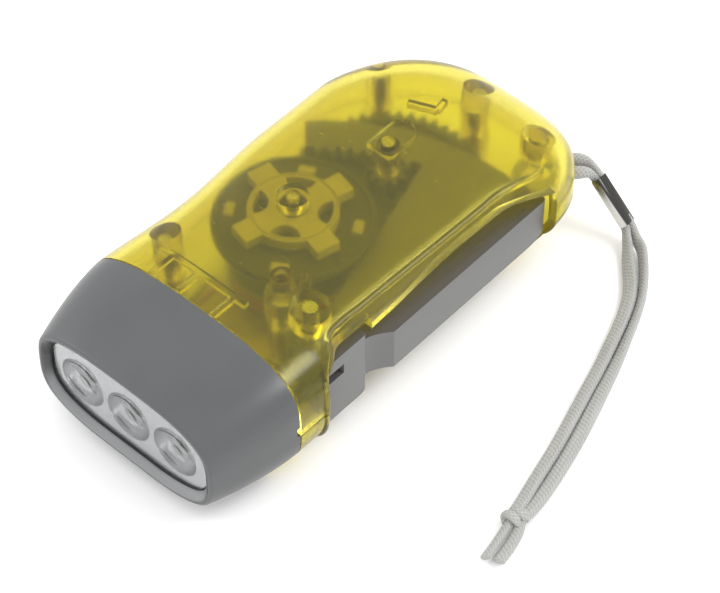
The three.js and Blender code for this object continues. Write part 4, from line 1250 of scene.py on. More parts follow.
    def knot(self) -> list[bpy.types.Object]:
        """Make the knot's turns of cord and the two short ends.

        Returns:
            The knot and its ends.
        """
        centre = self.knot_place + self.shift
        radius, half = self.knot_radius, self.knot_half_length
        lean = Matrix.Rotation(math.radians(self.knot_lean), 4, "Z")
        path = []
        for share in steps(0, 1, 70):
            angle = 2 * math.pi * self.knot_turns * share
            up = self.knot_flatness * radius * math.sin(angle)
            local = Vector((radius * math.cos(angle), mix(half, -half, share), up))
            path.append(centre + lean @ local)
        wrap = self.braided("strap_knot_turns", path, lambda s: 2.0, lambda s: 1.1, lambda s: 0, 28)
        pieces = [dress(wrap, STRAP, "strap_knot")]
        for index, route in enumerate(self.end_routes, start=1):
            path = curve_through([Vector(p) + self.shift for p in route], 0.22)
            end = self.braided(
                f"strap_tail_{index}", path, lambda s: mix(2.3, 2.7, s), lambda s: 1.3,
                lambda s, n=index: 50 if n == 1 else 20)
            pieces.append(dress(end, STRAP, f"strap_end_{index}"))
        return pieces

    def build(self) -> None:
        """Make the strap: both cords, the clip, the knot with its ends, and the bight."""
        made = self.cords()
        clip = self.clip()
        knot = self.knot()
        self.bight()
        for index, (cord, path) in enumerate(made):
            length = sum((b - a).length for a, b in zip(path, path[1:])) * MM
            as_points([tuple(p * MM) for p in path[::4]] + [tuple(path[-1] * MM)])


@dataclass
class ClearCase:
    """Top and bottom shells with their bosses, ribs and openings."""

    form: CaseForm
    pivot: Plan
    gear: Plan
    shaft: Plan
    seam: float = 0.25
    boss: float = 2.9
    screw_hole: float = 1.4
    screw_head: float = 2.4
    screw_seat: float = 4.0
    rear_lift: float = 2.6
    screw_top: float = 21.0
    rib: float = 1.2
    rib_low: float = 21.6
    posts: dict[str, Plan] = field(default_factory=lambda: {
        "front": (5.3, -16.65), "left": (-18.9, -22.15), "tail": (-0.1, 45.15), "rear": (-19, 37.85)})
    small_post: Plan = (9, -14.35)
    strap_post: Plan = (16.7, 42.95)
    opening_low: float = 8.85
    opening_high: float = 20.55
    block_low: float = 5.75
    gap_ahead: float = 7.9
    shaft_bore: float = 1.3
    pin_bore: float = 1.8
    axle_bore: float = 1.5
    guard_bore: float = 1.9
    guard: float = 1.6
    guard_foot: float = 1
    guard_top: float = 21
    smooth_angle: float = 32

    @property
    def roof(self) -> float:
        """The inside of the top wall."""
        return 2 * self.form.mid - self.form.wall

    def lift(self, name: str) -> float:
        """Return how much higher a post's screw sits, where the case rounds in under its head."""
        return self.rear_lift if name == "rear" else 0

    def rear_screw(self, node: bpy.types.Object) -> None:
        """Make the rear screw, drawn up until its head is inside the case.

        Args:
            node: the frame's own screw.
        """
        screw = Bench.copy(node, "rear_case_screw")
        screw.data.transform(Matrix.Translation((0, 0, self.rear_lift * MM)))
        dress(screw, SCREW_STEEL, "case_screw_4")

    def cavity(self, name: str) -> bpy.types.Object:
        """Return the inside of the case as a solid."""
        return self.form.solid(name, self.form.wall, 2)

    def gap_cutter(self, name: str, inside: float, low: float, edge: Sequence[Plan]) -> bpy.types.Object:
        """Return a cutter through the right-hand wall.

        Args:
            name: the cutter's name.
            inside: where it starts across the case.
            low: its floor.
            edge: points (y, z) of its upper edge.

        Returns:
            The cutter.
        """
        outside = self.form.half_width + 2
        corners = [((inside, y, low), (outside, y, low), (outside, y, z), (inside, y, z)) for y, z in edge]
        return Bench.wrap(name, [[Vector(corner) for corner in ring] for ring in corners])

    def lever_gap(self) -> list[bpy.types.Object]:
        """Make the cutters of the lever's opening: under the grip, round the block, and the arched upper edge.

        Returns:
            The cutters.
        """
        x, y = self.pivot
        front, step, back = y - self.gap_ahead, y + 7.3, y + 55.4
        arch = [(step, 22.4), (y + 14, 23.1), (y + 26, 24.9), (y + 40, 25.2), (y + 49, 24.5), (back, 22.7)]
        over_grip = curve_through([Vector((0, *point)) for point in arch], 0.8)
        over_block = [(front, 20.9), (front + 0.4, 22.4), (front + 1.3, 23.7), (front + 2.7, 24.6),
                      (front + 4.6, 25.2), (step, 25.3)]
        return [
            self.gap_cutter("slot", x + 2.9, self.opening_low,
                            [(front, self.opening_high), (back, self.opening_high)]),
            self.gap_cutter("block", x + 2.9, self.block_low, [(front, 20.5), (step, 20.5)]),
            self.gap_cutter("over_block", x + 4.3, 15, over_block),
            self.gap_cutter("over_grip", x + 4.3, 15, [(p.y, p.z) for p in over_grip]),
        ]

    def strap_hole(self) -> bpy.types.Object:
        """Return the cutter of the strap's hole, which leans as the cords do.

        Returns:
            The cutter.
        """
        hole = Bench.brick("hole", (-3.2, 0, self.form.mid - 2.1), (3.2, 19, self.form.mid + 2.1))
        lean = math.atan2(21.5 - self.strap_post[0], 50.95 - self.strap_post[1])
        spin = Matrix.Rotation(-lean, 4, "Z")
        hole.data.transform(Matrix.Translation((self.strap_post[0] * MM, self.strap_post[1] * MM, 0)) @ spin)
        Bench.round_edges(hole, 0.8, 3, 60)
        return hole

    def wall_rib(self, start: Plan, end: Plan, low: float) -> bpy.types.Object:
        """Return a straight rib from a height up into the roof.

        Args:
            start: one end in plan.
            end: the other end.
            low: the height of its lower edge.

        Returns:
            The rib.
        """
        length = math.dist(start, end)
        turn = math.degrees(math.atan2(end[1] - start[1], end[0] - start[0]))
        rib = Bench.brick("rib", (0, -self.rib / 2, low), (length, self.rib / 2, 2 * self.form.mid), turn)
        rib.data.transform(Matrix.Translation((start[0] * MM, start[1] * MM, 0)))
        return rib

    def tab(self) -> bpy.types.Object:
        """Return the long tab over the gear's axle, round at its far end.

        Returns:
            The tab.
        """
        half, reach = 2.9, 3.6
        x, y = self.gear
        outline = [*arc((x, y + reach), half, 0, 180, 20), (x - half, y - half), (x + half, y - half)]
        return Bench.slab("tab", outline, 26.2, 2 * self.form.mid)

    def top_bosses(self) -> list[bpy.types.Object]:
        """Return what stands under the roof.

        Returns:
            The bosses and ribs.
        """
        top = 2 * self.form.mid
        seam = self.form.mid + self.seam / 2
        rows = [(2.0 if name == "front" else self.boss, seam, post) for name, post in self.posts.items()]
        rows += [
            (3.2, 25.2, self.shaft), (3.9, 23.2, self.pivot), (1.1, self.rib_low, self.small_post),
            (3.1, 20.7, self.strap_post), (2.2, 19.65, self.gear),
        ]
        bosses = self.rods("boss", [(radius, low, top, centre) for radius, low, centre in rows], BOSS_SIDES)
        front, left = self.posts["front"], self.posts["left"]
        shoulder = [(0.05, seam), (3.3, seam), (3.3, 22.6), (3.0, 23.7), (2.4, 24.4), (0.05, 24.6)]
        bosses.append(Bench.turned("shoulder", shoulder, Vector((*front, 0)), sides=BOSS_SIDES))
        row = self.form.joint + 8
        vee = (-1.035, 34.25)
        bosses += [
            self.tab(),
            self.wall_rib(vee, polar(vee, 6, 202), 26.2),
            self.wall_rib(vee, polar(vee, 3, 100), 26.2),
            self.wall_rib((left[0], row), (front[0], row), 26.5),
            self.wall_rib(polar(self.posts["rear"], 2.9, 80), polar(self.posts["rear"], 8.7, 35), 26.2),
        ]
        for x in (left[0] + 5.8, left[0] / 3, front[0] - 2.9):
            bosses.append(self.wall_rib((x, self.form.joint + 2), (x, row), 26.5))
        return bosses

    def rods(self, name: str, rows: Iterable[Row], sides: int) -> list[bpy.types.Object]:
        """Stand a rod for each row."""
        return [Bench.rod(name, *row, sides) for row in rows]

    def hollow(self, name: str, bosses: Sequence[bpy.types.Object], holes: Sequence[bpy.types.Object],
               half: bpy.types.Object, early: Sequence[bpy.types.Object] = ()) -> bpy.types.Object:
        """Make one hollow half of the case, with what stands in it.

        Args:
            name: the name of the piece.
            bosses: what stands inside, cut back here to the middle of the wall.
            holes: what is cut out of it all.
            half: the box of this half.
            early: what is cut out before the bosses stand in it.

        Returns:
            The shell.
        """
        shell = Bench.shape(self.form.solid(name), Cut.TAKE, self.cavity("inside"), *early)
        stack = Bench.shape(bosses[0], Cut.ADD, *bosses[1:])
        Bench.shape(stack, Cut.KEEP, self.form.solid("core", self.form.wall / 2))
        Bench.shape(shell, Cut.ADD, stack, self.lip())
        Bench.shape(shell, Cut.TAKE, *holes)
        return Bench.shape(shell, Cut.KEEP, half)

    def top(self) -> None:
        """Make the top shell."""
        seam, middle = self.form.mid + self.seam / 2, self.form.mid
        rows = [(self.screw_hole, seam - 2, self.screw_top + self.lift(name), post)
                for name, post in self.posts.items()]
        rows += [
            (self.shaft_bore, 20, self.roof + 0.3, self.shaft), (self.pin_bore, middle, self.roof + 0.3, self.pivot),
            (self.axle_bore, 19, self.roof - 0.3, self.gear), (self.guard_bore, middle, 25.6, self.strap_post),
        ]
        holes = [*self.rods("hole", rows, HOLE_SIDES), self.strap_hole(), *self.lever_gap()]
        half = Bench.brick("half", (-40, -80, seam), (40, 80, 40))
        shell = self.hollow("top_case_shell", self.top_bosses(), holes, half)
        dress(shell, SHELL, "top_shell", angle=self.smooth_angle)

    def bottom(self) -> None:
        """Make the bottom shell."""
        seam, middle = self.form.mid - self.seam / 2, self.form.mid
        bosses = [(self.boss, 0, seam, post) for post in self.posts.values()]
        bosses += [(3.2, 0, 3.8, self.shaft), (3.0, 0, 12.5, self.gear), (3.9, 0, 6.2, self.pivot)]
        rows = []
        for name, post in self.posts.items():
            rows += [(self.screw_hole, -2, middle, post),
                     (self.screw_head, -2, self.screw_seat + self.lift(name), post)]
        rows += [(self.shaft_bore, 1.2, 5, self.shaft), (self.pin_bore, 3.5, middle, self.pivot),
                 (self.axle_bore, 1.2, middle, self.gear)]
        holes = [*self.rods("hole", rows, HOLE_SIDES), *self.lever_gap()]
        half = Bench.brick("half", (-40, -80, -5), (40, 80, seam))
        shell = self.hollow("bottom_case_shell", self.rods("boss", bosses, BOSS_SIDES), holes, half,
                            [self.strap_hole()])
        guard = Bench.rod("guard", self.guard, self.guard_foot, self.guard_top, self.strap_post, HOLE_SIDES)
        Bench.shape(shell, Cut.ADD, guard)
        dress(shell, SHELL, "bottom_shell", angle=self.smooth_angle)

    def lip(self) -> bpy.types.Object:
        """Return the rounded lip round the lever's opening: along its top, then down its front edge.

        Returns:
            The lip.
        """
        front = self.pivot[1] - self.gap_ahead - 0.45
        path = [self.form.crest(y, 44, mix(-0.25, -1, smooth(30, 38, y))) for y in steps(38, front + 14, 12)]
        corner = [(front + 9.5, 45), (front + 5.8, 43), (front + 3, 37), (front + 1.1, 28), (front + 0.2, 16),
                  (front, 2), (front, -15), (front, -32), (front, -48), (front, -62)]
        path += [self.form.crest(y, degrees, -0.3) for y, degrees in corner]
        return tube("opening_lip", curve_through(path, 0.5), 0.85, 20)

    def build(self) -> None:
        """Make both shells."""
        self.top()
        self.bottom()


@dataclass
class LampHead:
    """The flared grey head with its window, reflector and lamps."""

    form: CaseForm
    rim_half_width: float = 22.0
    rim_half_height: float = 11.3
    rim_power: float = 3.2
    rim_lean: float = 0.5
    rim_forward: float = 1.6
    rim_rise: float = 0.8
    flare_power: float = 1.5
    wall: float = 2.5
    rim_round: float = 0.45
    bevel_start: float = 0.75
    bevel_depth: float = 1.25
    tongue_length: float = 1.4
    tongue_wall: float = 1.5
    set_back: float = 1.35
    window_thickness: float = 0.55
    lens_radius: float = 4.9
    lens_rise: float = 0.45
    lamp_xs: tuple[float, ...] = (-12.2, -0.4, 11.4)
    lamp_height: float = 14.6
    lamp_radius: float = 2.5
    lamp_tip: float = 1.5
    cup_radius: float = 5.35
    cup_depth: float = 5

    @property
    def rim_height(self) -> float:
        """The height of the rim's middle."""
        return self.form.mid + self.rim_rise

    def face(self, y: float) -> float:
        """Return the true place of a ring's middle along the torch."""
        flare = min(1, max(0, (self.form.joint - y) / self.form.head_length))
        return y - flare * self.rim_forward

    def ring(self, y: float, inset: float) -> Ring:
        """Return a ring of the head's flared form.

        Args:
            y: its place along the case.
            inset: how far it is drawn in.

        Returns:
            The ring's points.
        """
        joint = self.form.section(self.form.joint)
        flare = min(1, max(0, (self.form.joint - y) / self.form.head_length))
        share = flare**self.flare_power
        section = Section(
            mix(joint.left, self.rim_half_width, share), mix(joint.right, self.rim_half_width, share),
            mix(joint.half, self.rim_half_height, share), mix(joint.middle, self.rim_height, share),
            tuple(mix(power, self.rim_power, share) for power in joint.powers))

        def bow(across: float, up: float) -> float:
            """Return a point's shift along Y: the shells' bow at the joint, the rim's lean at the front."""
            return (1 - flare) * self.form.bow_back(across, up) + flare * (up * self.rim_lean / 2 - self.rim_forward)

        return self.form.ring(y, section, inset, bow)

    def tongue_ring(self, y: float, inset: float) -> Ring:
        """Return a ring of the tongue inside the shells."""
        return self.form.ring(y, self.form.section(self.form.joint + self.tongue_length), inset)

    def shell(self) -> None:
        """Make the head as one hollow form: skin, rounded rim, bevel, bore and tongue."""
        front, joint = self.form.front, self.form.joint
        rings = [self.ring(y, 0) for y in steps(joint - 0.25, front + self.rim_round, 30)]
        for turn in steps(0.2, math.pi / 2, 6):
            y = front + self.rim_round * (1 - math.sin(turn))
            rings.append(self.ring(y, self.rim_round * (1 - math.cos(turn))))
        for share in steps(0, 1, 6):
            rings.append(self.ring(front + self.bevel_depth * share**1.4, mix(self.bevel_start, self.wall, share)))
        rings += [self.ring(y, self.wall) for y in steps(front + 2.5, joint - 3.8, 8)]
        bore = self.form.wall + self.form.gap + self.tongue_wall
        tip = joint + self.tongue_length
        rings += [self.tongue_ring(joint - 1.5, bore), self.tongue_ring(tip, bore)]
        rings += [self.tongue_ring(y, self.form.wall + self.form.gap) for y in (tip, joint - 0.25)]
        head = Bench.wrap("lamp_head", rings, looped=True)
        slot = Bench.brick("slot", (self.form.half_width - 8, joint - 0.1, 17), (40, joint + 9, 20.4))
        notch = Bench.brick("notch", (25.2, joint - 1.0, 15.2), (28.5, joint + 0.4, 17.4))
        Bench.shape(head, Cut.TAKE, slot, notch)
        dress(head, HEAD_GREY, "head_shell", angle=40)

    def window(self) -> None:
        """Make the clear window, set back behind the rim, with a raised round lens before each lamp."""
        start = self.form.front + self.set_back
        inset = self.wall + 0.12
        places = [(start, inset + 0.15), (start + 0.15, inset), (start + self.window_thickness, inset)]
        window = Bench.wrap("lamp_window", [self.ring(y, i) for y, i in places])
        face = self.face(start)
        for x in self.lamp_xs:
            profile = [(max(0.05, self.lens_radius * share), face - self.lens_rise * math.cos(share * math.pi / 2) ** 2)
                       for share in steps(0, 1, 18)]
            profile += [(self.lens_radius, face + 0.4), (0.05, face + 0.4)]
            lens = Bench.turned("lens", profile, Vector((x, 0, self.lamp_height)), Axis.FORWARD, 72)
            Bench.shape(window, Cut.ADD, lens)
        dress(window, WINDOW, "window_lens", angle=30)

    def bezel(self) -> None:
        """Make the facing of the rim's bevel, with painted shade at its sides and painted light, grainy, along the
        bottom.
        """
        front = self.form.front
        face = [(front + self.bevel_depth * share**1.4 - 0.04, mix(self.bevel_start + 0.1, self.wall, share))
                for share in steps(0, 1, 6)]
        back = [(front + self.bevel_depth + 0.3, self.wall + 0.04), (front + self.bevel_depth + 0.3, self.wall - 0.5),
                (front + 0.5, self.bevel_start + 0.1)]
        ring = Bench.wrap("lamp_bezel", [self.ring(y, inset) for y, inset in face + back], looped=True)
        dress(ring, BEZEL, angle=50)

    def gasket(self) -> None:
        """Make the thin black line round the window."""
        start = self.form.front + self.set_back
        ahead, behind, inner = start - 0.03, start + 0.2, self.wall + 0.26
        places = [(ahead, inner), (ahead, self.wall), (behind, self.wall), (behind, inner)]
        line = Bench.wrap("window_gasket", [self.ring(y, i) for y, i in places], looped=True)
        dress(line, SLIDE_BLACK)

    def reflector(self) -> None:
        """Make the silvered block with a cup for each lamp."""
        start = self.form.front + self.set_back + self.window_thickness + 0.04
        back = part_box("reflector")[1].y / MM
        block = Bench.wrap("silvered_reflector", [self.ring(y, self.wall + 0.05) for y in steps(start, back + 2.5, 4)])
        Bench.shape(block, Cut.KEEP, Bench.brick("keep", (-40, -80, -5), (40, back, 40)))
        face = self.face(start)
        for x in self.lamp_xs:
            throat = self.lamp_radius + 0.3
            profile = [(0.05, back + 1), (throat, back + 1)]
            for share in steps(0, 1, 14):
                profile.append((mix(throat, self.cup_radius, share**0.5), mix(face + self.cup_depth, face, share)))
            profile += [(self.cup_radius, face - 3), (0.05, face - 3)]
            cup = Bench.turned("cup", profile, Vector((x, 0, self.lamp_height)), Axis.FORWARD, 72)
            Bench.shape(block, Cut.TAKE, cup)
        dress(block, SILVERED, "reflector", angle=30)

    def lamps(self) -> None:
        """Make the three epoxy lamps, each with its lead frame and die."""
        for index, x in enumerate(self.lamp_xs, start=1):
            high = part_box(f"led_{index}")[1].y / MM
            low = self.face(self.form.front + self.set_back + self.window_thickness) + self.lamp_tip
            centre = Vector((x, 0, self.lamp_height))
            radius = self.lamp_radius
            dome = [(radius * math.sin(turn), low + radius * (1 - math.cos(turn)))
                    for turn in steps(0.02, math.pi / 2, 12)]
            profile = [*dome, (radius, high - 1), (radius + 0.45, high - 1), (radius + 0.45, high)]
            lamp = Bench.turned(f"lamp_{index}", profile, centre, Axis.FORWARD, 48)
            dress(lamp, LED_CLEAR, f"led_{index}", angle=35)
            dish = [(0.1, low + 3.6), (0.75, low + 3.5), (1.05, low + 3.0), (1.2, low + 3.0), (1.2, low + 4.6),
                    (0.4, low + 5.0), (0.4, high - 1.2)]
            frame = Bench.turned(f"lamp_frame_{index}", dish, centre, Axis.FORWARD, 24)
            dress(frame, PIN_STEEL, angle=35)

    def build(self) -> None:
        """Make the head and all that it holds."""
        self.shell()
        self.window()
        self.bezel()
        self.gasket()
        self.reflector()
        self.lamps()


@dataclass
class Lever:
    """The squeeze lever: hinge block, neck and grip outside, web and toothed arm inside."""

    pivot: Plan
    node: bpy.types.Object
    block_reach: float = 9.0
    block_front: float = 4.9
    block_back: float = 5.6
    block_round: float = 1.0
    neck_reach: float = 8.0
    neck_inner: float = 3.9
    grip_reach: float = 10.8
    grip_start: float = 11
    grip_end: float = 55.1
    grip_depth: float = 6.2
    end_round: float = 0.8
    grip_low: float = 9.6
    grip_high: float = 19.8
    block_low: float = 6.5
    block_high: float = 22.9
    web_low: float = 16.05
    web_high: float = 19.05

    def placed(self, points: Iterable[Plan]) -> list[Plan]:
        """Move points from the pivot's own place to the torch's."""
        return [(x + self.pivot[0], y + self.pivot[1]) for x, y in points]

    def block(self) -> bpy.types.Object:
        """Return the hinge block with its rounded rear corner.

        Returns:
            The block.
        """
        reach, back, bend = self.block_reach, self.block_back, self.block_round
        outline = [(0, -self.block_front), (reach, -self.block_front)]
        outline += arc((reach - bend, back - bend), bend, 0, 90, 8) + [(0, back)]
        return Bench.slab("hinge_block", self.placed(outline), self.block_low, self.block_high)

    def grip(self) -> bpy.types.Object:
        """Return the neck and the grip bar as one plan outline.

        Returns:
            The bar.
        """
        reach, end, bend = self.grip_reach, self.grip_end, self.end_round
        neck = []
        for share in steps(0, 1, 14):
            y = mix(self.block_back + 0.6, self.grip_start, share)
            neck.append((mix(self.neck_reach, reach, share**1.5), y))
        outline = [(self.neck_inner, 3), (self.neck_reach, 3), *neck]
        outline += arc((reach - bend, end - bend), bend, 0, 90, 10)
        outline += [
            (reach - self.grip_depth, end), (reach - self.grip_depth, self.grip_start + self.grip_depth),
            (self.neck_inner, self.grip_start),
        ]
        return Bench.slab("grip_bar", self.placed(outline), self.grip_low, self.grip_high)

    def heel(self, end: float, low: float, along: float, up: float) -> bpy.types.Object:
        """Return the cutter that rounds a lower rear corner.

        Args:
            end: the corner's place along the torch, from the pivot.
            low: its height.
            along: how far the round reaches along the torch.
            up: how far it reaches up.

        Returns:
            The cutter.
        """
        end += self.pivot[1]
        curve = [(end - along * (1 - math.sin(turn)), low + up * (1 - math.cos(turn)))
                 for turn in steps(0, math.pi / 2, 10)]
        profile = [*curve, (end + 0.5, low + up), (end + 0.5, low - 1), (end - along, low - 1)]
        return Bench.wrap("heel", [[Vector((x, y, z)) for y, z in profile] for x in (self.pivot[0] + 2, 40)])

    def outside(self) -> None:
        """Make the part of the lever that the hand touches."""
        body = Bench.shape(self.block(), Cut.ADD, self.grip())
        body.name = "lever_grip"
        corner = self.block_reach
        x, y = self.pivot
        notch = Bench.brick("notch", (x + corner - 2.5, y - 6, 17.4), (x + corner + 2, y - 0.8, 19.9))
        heels = [self.heel(self.grip_end, self.grip_low, 4.8, 2.5),
                 self.heel(self.block_back, self.block_low, 2.0, 2.0)]
        bore = Bench.rod("bore", 1.8, 0, 30, self.pivot, HOLE_SIDES)
        pocket = Bench.brick("pocket", (x - 8, y - 8, 8.3), (x + self.neck_inner, y + self.grip_start, 13.9))
        Bench.shape(body, Cut.TAKE, notch, *heels, bore, pocket)
        Bench.round_edges(body, 0.35, 3, 40)
        dress(body, LEVER_GREY, "squeeze_lever", body=Body.LEVER, angle=45)

    def web(self) -> None:
        """Make the web and toothed arm inside the case, from the frame's own lever."""
        web = Bench.copy(self.node, "lever_web")
        x, y = self.pivot
        inner = x + self.grip_reach - self.grip_depth
        band = Bench.brick("band", (x - 60, y - 6, self.web_low), (inner, y + 60, self.web_high))
        Bench.shape(web, Cut.KEEP, band)
        Bench.round_edges(web, 0.15, 1, 50)
        dress(web, WEB_GREY, body=Body.LEVER, angle=30)

    def build(self) -> None:
        """Make both parts of the lever."""
        self.outside()
        self.web()


@dataclass
class Flywheel:
    """The flywheel disc and its pale spider, on the rotor's shaft."""

    centre: Plan
    radius: float = 15.9
    low: float = 19.8
    high: float = 21.6
    hub: float = 2.5
    bore: float = 1.3
    spider_low: float = 21.9
    spider_high: float = 24.3
    ring: float = 8.8
    ring_width: float = 1.1
    reach: float = 12.1
    arm_width: float = 5
    arms: int = 4
    angle: float = -14
    moon: float = 3
    window_place: float = 12.5
    window_size: Plan = (2.2, 3.6)

    def disc(self) -> None:
        """Make the disc with a stepped rim, a groove and small windows."""
        r, low, high = self.radius, self.low, self.high
        profile = [
            (self.bore, low), (r - 1.4, low), (r - 1.2, low + 0.2), (r - 0.2, low + 0.2), (r, low + 0.4),
            (r, high - 0.3), (r - 0.3, high), (r - 1.1, high), (r - 1.3, high - 0.35), (9.6, high - 0.35), (9.4, high),
            (self.bore, high),
        ]
        disc = Bench.turned("flywheel_body", profile, Vector((*self.centre, 0)), sides=120, looped=True)
        hub = Bench.turned(
            "hub", [(self.bore, 18.4), (self.hub, 18.4), (self.hub, 24.3), (self.hub - 0.3, 24.6), (self.bore, 24.6)],
            Vector((*self.centre, 0)), sides=48, looped=True)
        Bench.shape(disc, Cut.ADD, hub)
        Bench.shape(disc, Cut.TAKE, *self.windows(0, low - 1, high + 1))
        dress(disc, DISC_DARK, "flywheel_disc", body=Body.ROTOR, angle=35)

    def windows(self, inset: float, low: float, high: float) -> list[bpy.types.Object]:
        """Return a box in the place of each window.

        Args:
            inset: how far each is drawn in.
            low: their floor.
            high: their top.

        Returns:
            The boxes.
        """
        along, across = (size / 2 - inset for size in self.window_size)
        made = []
        for i in range(self.arms):
            x, y = self.window_place + self.centre[0], self.centre[1]
            turn = self.angle + (180 + 360 * i) / self.arms
            made.append(Bench.brick("window", (x - along, y - across, low), (x + along, y + across, high)))
            made[-1].data.transform(self.turned_about(turn))
        return made

    def turned_about(self, degrees: float) -> Matrix:
        """Return a turn about the shaft."""
        place = Matrix.Translation((self.centre[0] * MM, self.centre[1] * MM, 0))
        return place @ Matrix.Rotation(math.radians(degrees), 4, "Z") @ place.inverted()

    def spider(self) -> None:
        """Make the pale spider: a ring with four arms, half-moon windows and pegs in the disc's windows."""
        low, high = self.spider_low, self.spider_high
        x, y = self.centre
        spider = Bench.rod("flywheel_spider_body", self.ring, low, high, self.centre, 120)
        half = self.arm_width / 2
        for turn in (self.angle, self.angle + 90):
            arm = Bench.brick("arm", (x - self.reach, y - half, low), (x + self.reach, y + half, high))
            arm.data.transform(self.turned_about(turn))
            Bench.shape(spider, Cut.ADD, arm)
        inner = self.ring - self.ring_width
        for i in range(self.arms):
            place = polar(self.centre, inner, self.angle + 45 + 90 * i)
            moon = Bench.rod("moon", self.moon, low - 1, high + 1, place, 48)
            Bench.shape(moon, Cut.KEEP, Bench.rod("keep", inner, low - 2, high + 2, self.centre, 96))
            Bench.shape(spider, Cut.TAKE, moon)
        Bench.shape(spider, Cut.TAKE, Bench.rod("bore", self.hub + 0.3, low - 1, high + 1, self.centre, 48))
        near, far, floor = self.ring - 0.7, self.ring - 0.3, high - 0.25
        profile = [(near, floor), (far, floor), (far, high + 1), (near, high + 1)]
        Bench.shape(spider, Cut.TAKE, Bench.turned("groove", profile, Vector((x, y, 0)), sides=120, looped=True))
        Bench.round_edges(spider, 0.22, 2, 50)
        dress(spider, SPIDER_PALE, "flywheel_spider", body=Body.ROTOR, angle=35)

    def pegs(self) -> None:
        """Make the pale pegs that fill the disc's windows."""
        for index, peg in enumerate(self.windows(0.12, self.low + 0.3, self.high - 0.15), start=1):
            peg.name = f"spider_peg_{index}"
            Bench.round_edges(peg, 0.15, 2, 60)
            dress(peg, SPIDER_PALE, body=Body.ROTOR, angle=35)

    def build(self) -> None:
        """Make the disc, the spider and its pegs."""
        self.disc()
        self.spider()
        self.pegs()


def lock_slide(node: bpy.types.Object) -> None:
    """Make the lock slide, its tip short of the lever's block.

    Args:
        node: the frame's own slide.
    """
    slide = Bench.copy(node, "lock_button")
    Bench.shape(slide, Cut.KEEP, Bench.brick("keep", (15, -40, 10), (30, -22.6, 25)))
    Bench.round_edges(slide, 0.15, 2, 40)
    dress(slide, SLIDE_BLACK, "lock_slide", body=Body.LOCK, angle=40)


def dress_frame_nodes(nodes: dict[str, bpy.types.Object]) -> None:
    """Give the frame's own nodes that stay in sight their finishes.

    Args:
        nodes: the frame's nodes by name.
    """
    finishes: dict[str, Finish] = {
        "drive_gear": GEAR_DARK, "ratchet_pinion": GEAR_DARK, "pawl_ring": GEAR_DARK, "gear_axle": PIN_STEEL,
        "lever_pin": PIN_STEEL, "rotor_shaft": PIN_STEEL, "return_spring": SPRING_STEEL, "rotor_magnet": MAGNET,
        "lower_pole_plate": POLE_STEEL, "upper_pole_plate": POLE_STEEL, "coil_spool": SPOOL_DARK,
        "coil_winding": COPPER, "led_board": BOARD, "lead_wire_1": WIRE_RED, "lead_wire_2": WIRE_BLACK,
        "case_screw_1": SCREW_STEEL, "case_screw_2": SCREW_STEEL, "case_screw_3": SCREW_STEEL,
    }
    for name, finish in finishes.items():
        coat(nodes[name], finish)


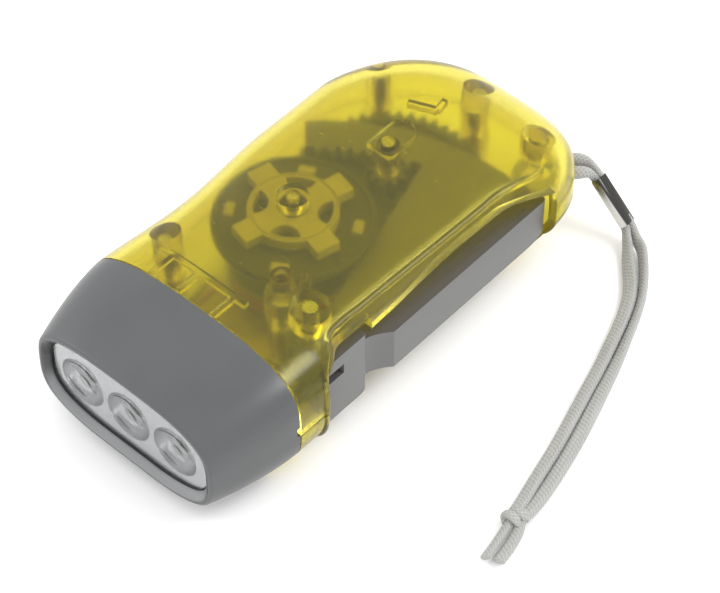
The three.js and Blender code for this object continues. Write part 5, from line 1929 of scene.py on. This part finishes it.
@dataclass
class Studio:
    """Camera, pale floor and soft lamps."""

    target: Vector = field(default_factory=lambda: Vector((0.0119, -0.00251, 0.0147)))
    azimuth: float = 41.9
    elevation: float = 50.0
    distance: float = 0.489
    lens: float = 130
    sensor: float = 36

    def camera(self) -> None:
        """Place the camera at the photograph's angle."""
        turn, rise = math.radians(self.azimuth), math.radians(self.elevation)
        back = Vector((math.sin(turn) * math.cos(rise), -math.cos(turn) * math.cos(rise), math.sin(rise)))
        data = bpy.data.cameras.new("camera")
        data.lens, data.sensor_width, data.clip_start = self.lens, self.sensor, 0.01
        camera = bpy.data.objects.new("camera", data)
        bpy.context.scene.collection.objects.link(camera)
        camera.location = self.target + back * self.distance
        camera.rotation_euler = back.to_track_quat("Z", "Y").to_euler()
        bpy.context.scene.camera = camera

    def floor(self) -> None:
        """Lay the pale floor."""
        Bench.clear()
        bpy.ops.mesh.primitive_plane_add(size=6, location=(0, 0, -0.0002))
        floor = Bench.keep("floor")
        made = bpy.data.materials.new("pale_floor")
        made.use_nodes = True
        shader = made.node_tree.nodes["Principled BSDF"]
        shader.inputs["Base Color"].default_value = (0.93, 0.93, 0.93, 1)
        shader.inputs["Roughness"].default_value = 0.9
        floor.data.materials.append(made)

    def lamp(self, name: str, place: Sequence[float], size: float, power: float) -> None:
        """Hang a square soft lamp that faces the torch.

        Args:
            name: the lamp's name.
            place: where it hangs, in metres.
            size: its side in metres.
            power: its power in watts.
        """
        data = bpy.data.lights.new(name, "AREA")
        data.size, data.energy = size, power
        lamp = bpy.data.objects.new(name, data)
        lamp.location = place
        lamp.rotation_euler = Vector(place).to_track_quat("Z", "Y").to_euler()
        bpy.context.scene.collection.objects.link(lamp)

    def light(self) -> None:
        """Set an even pale sky and the lamps."""
        world = bpy.data.worlds.new("soft_sky")
        bpy.context.scene.world = world
        world.use_nodes = True
        sky = world.node_tree.nodes["Background"]
        sky.inputs[0].default_value = (1, 1, 1, 1)
        sky.inputs[1].default_value = 1.35
        self.lamp("rear", (0.47, 0.42, 0.83), 0.4, 4.5)
        self.lamp("left", (-0.75, -0.35, 0.55), 0.6, 2.5)
        bpy.context.scene.view_settings.view_transform = "Standard"


def main() -> None:
    """Load the frame, dress the torch and set the studio."""
    logging.basicConfig(level=logging.INFO, format="%(name)s %(message)s")
    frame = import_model()
    Bench.clear()
    studio = Studio()
    studio.camera()
    WristStrap().build()
    places = {joint["name"]: joint.get("pos_m") for joint in frame["joints"]}

    def plan(joint: str) -> Plan:
        """Return a joint's place in plan, in millimetres."""
        x, y, _ = places[joint]
        return x / MM, y / MM

    form = CaseForm()
    pivot, gear, shaft = plan("lever_squeeze"), plan("drive_spin"), plan("flywheel_spin")
    case = ClearCase(form, pivot, gear, shaft)
    case.build()
    case.rear_screw(frame["nodes"]["case_screw_4"])
    LampHead(form).build()
    Lever(pivot, frame["nodes"]["squeeze_lever"]).build()
    Flywheel(shaft).build()
    lock_slide(frame["nodes"]["lock_slide"])
    dress_frame_nodes(frame["nodes"])
    studio.floor()
    studio.light()
    LOG.info("all pieces made")


if __name__ == "__main__":
    main()
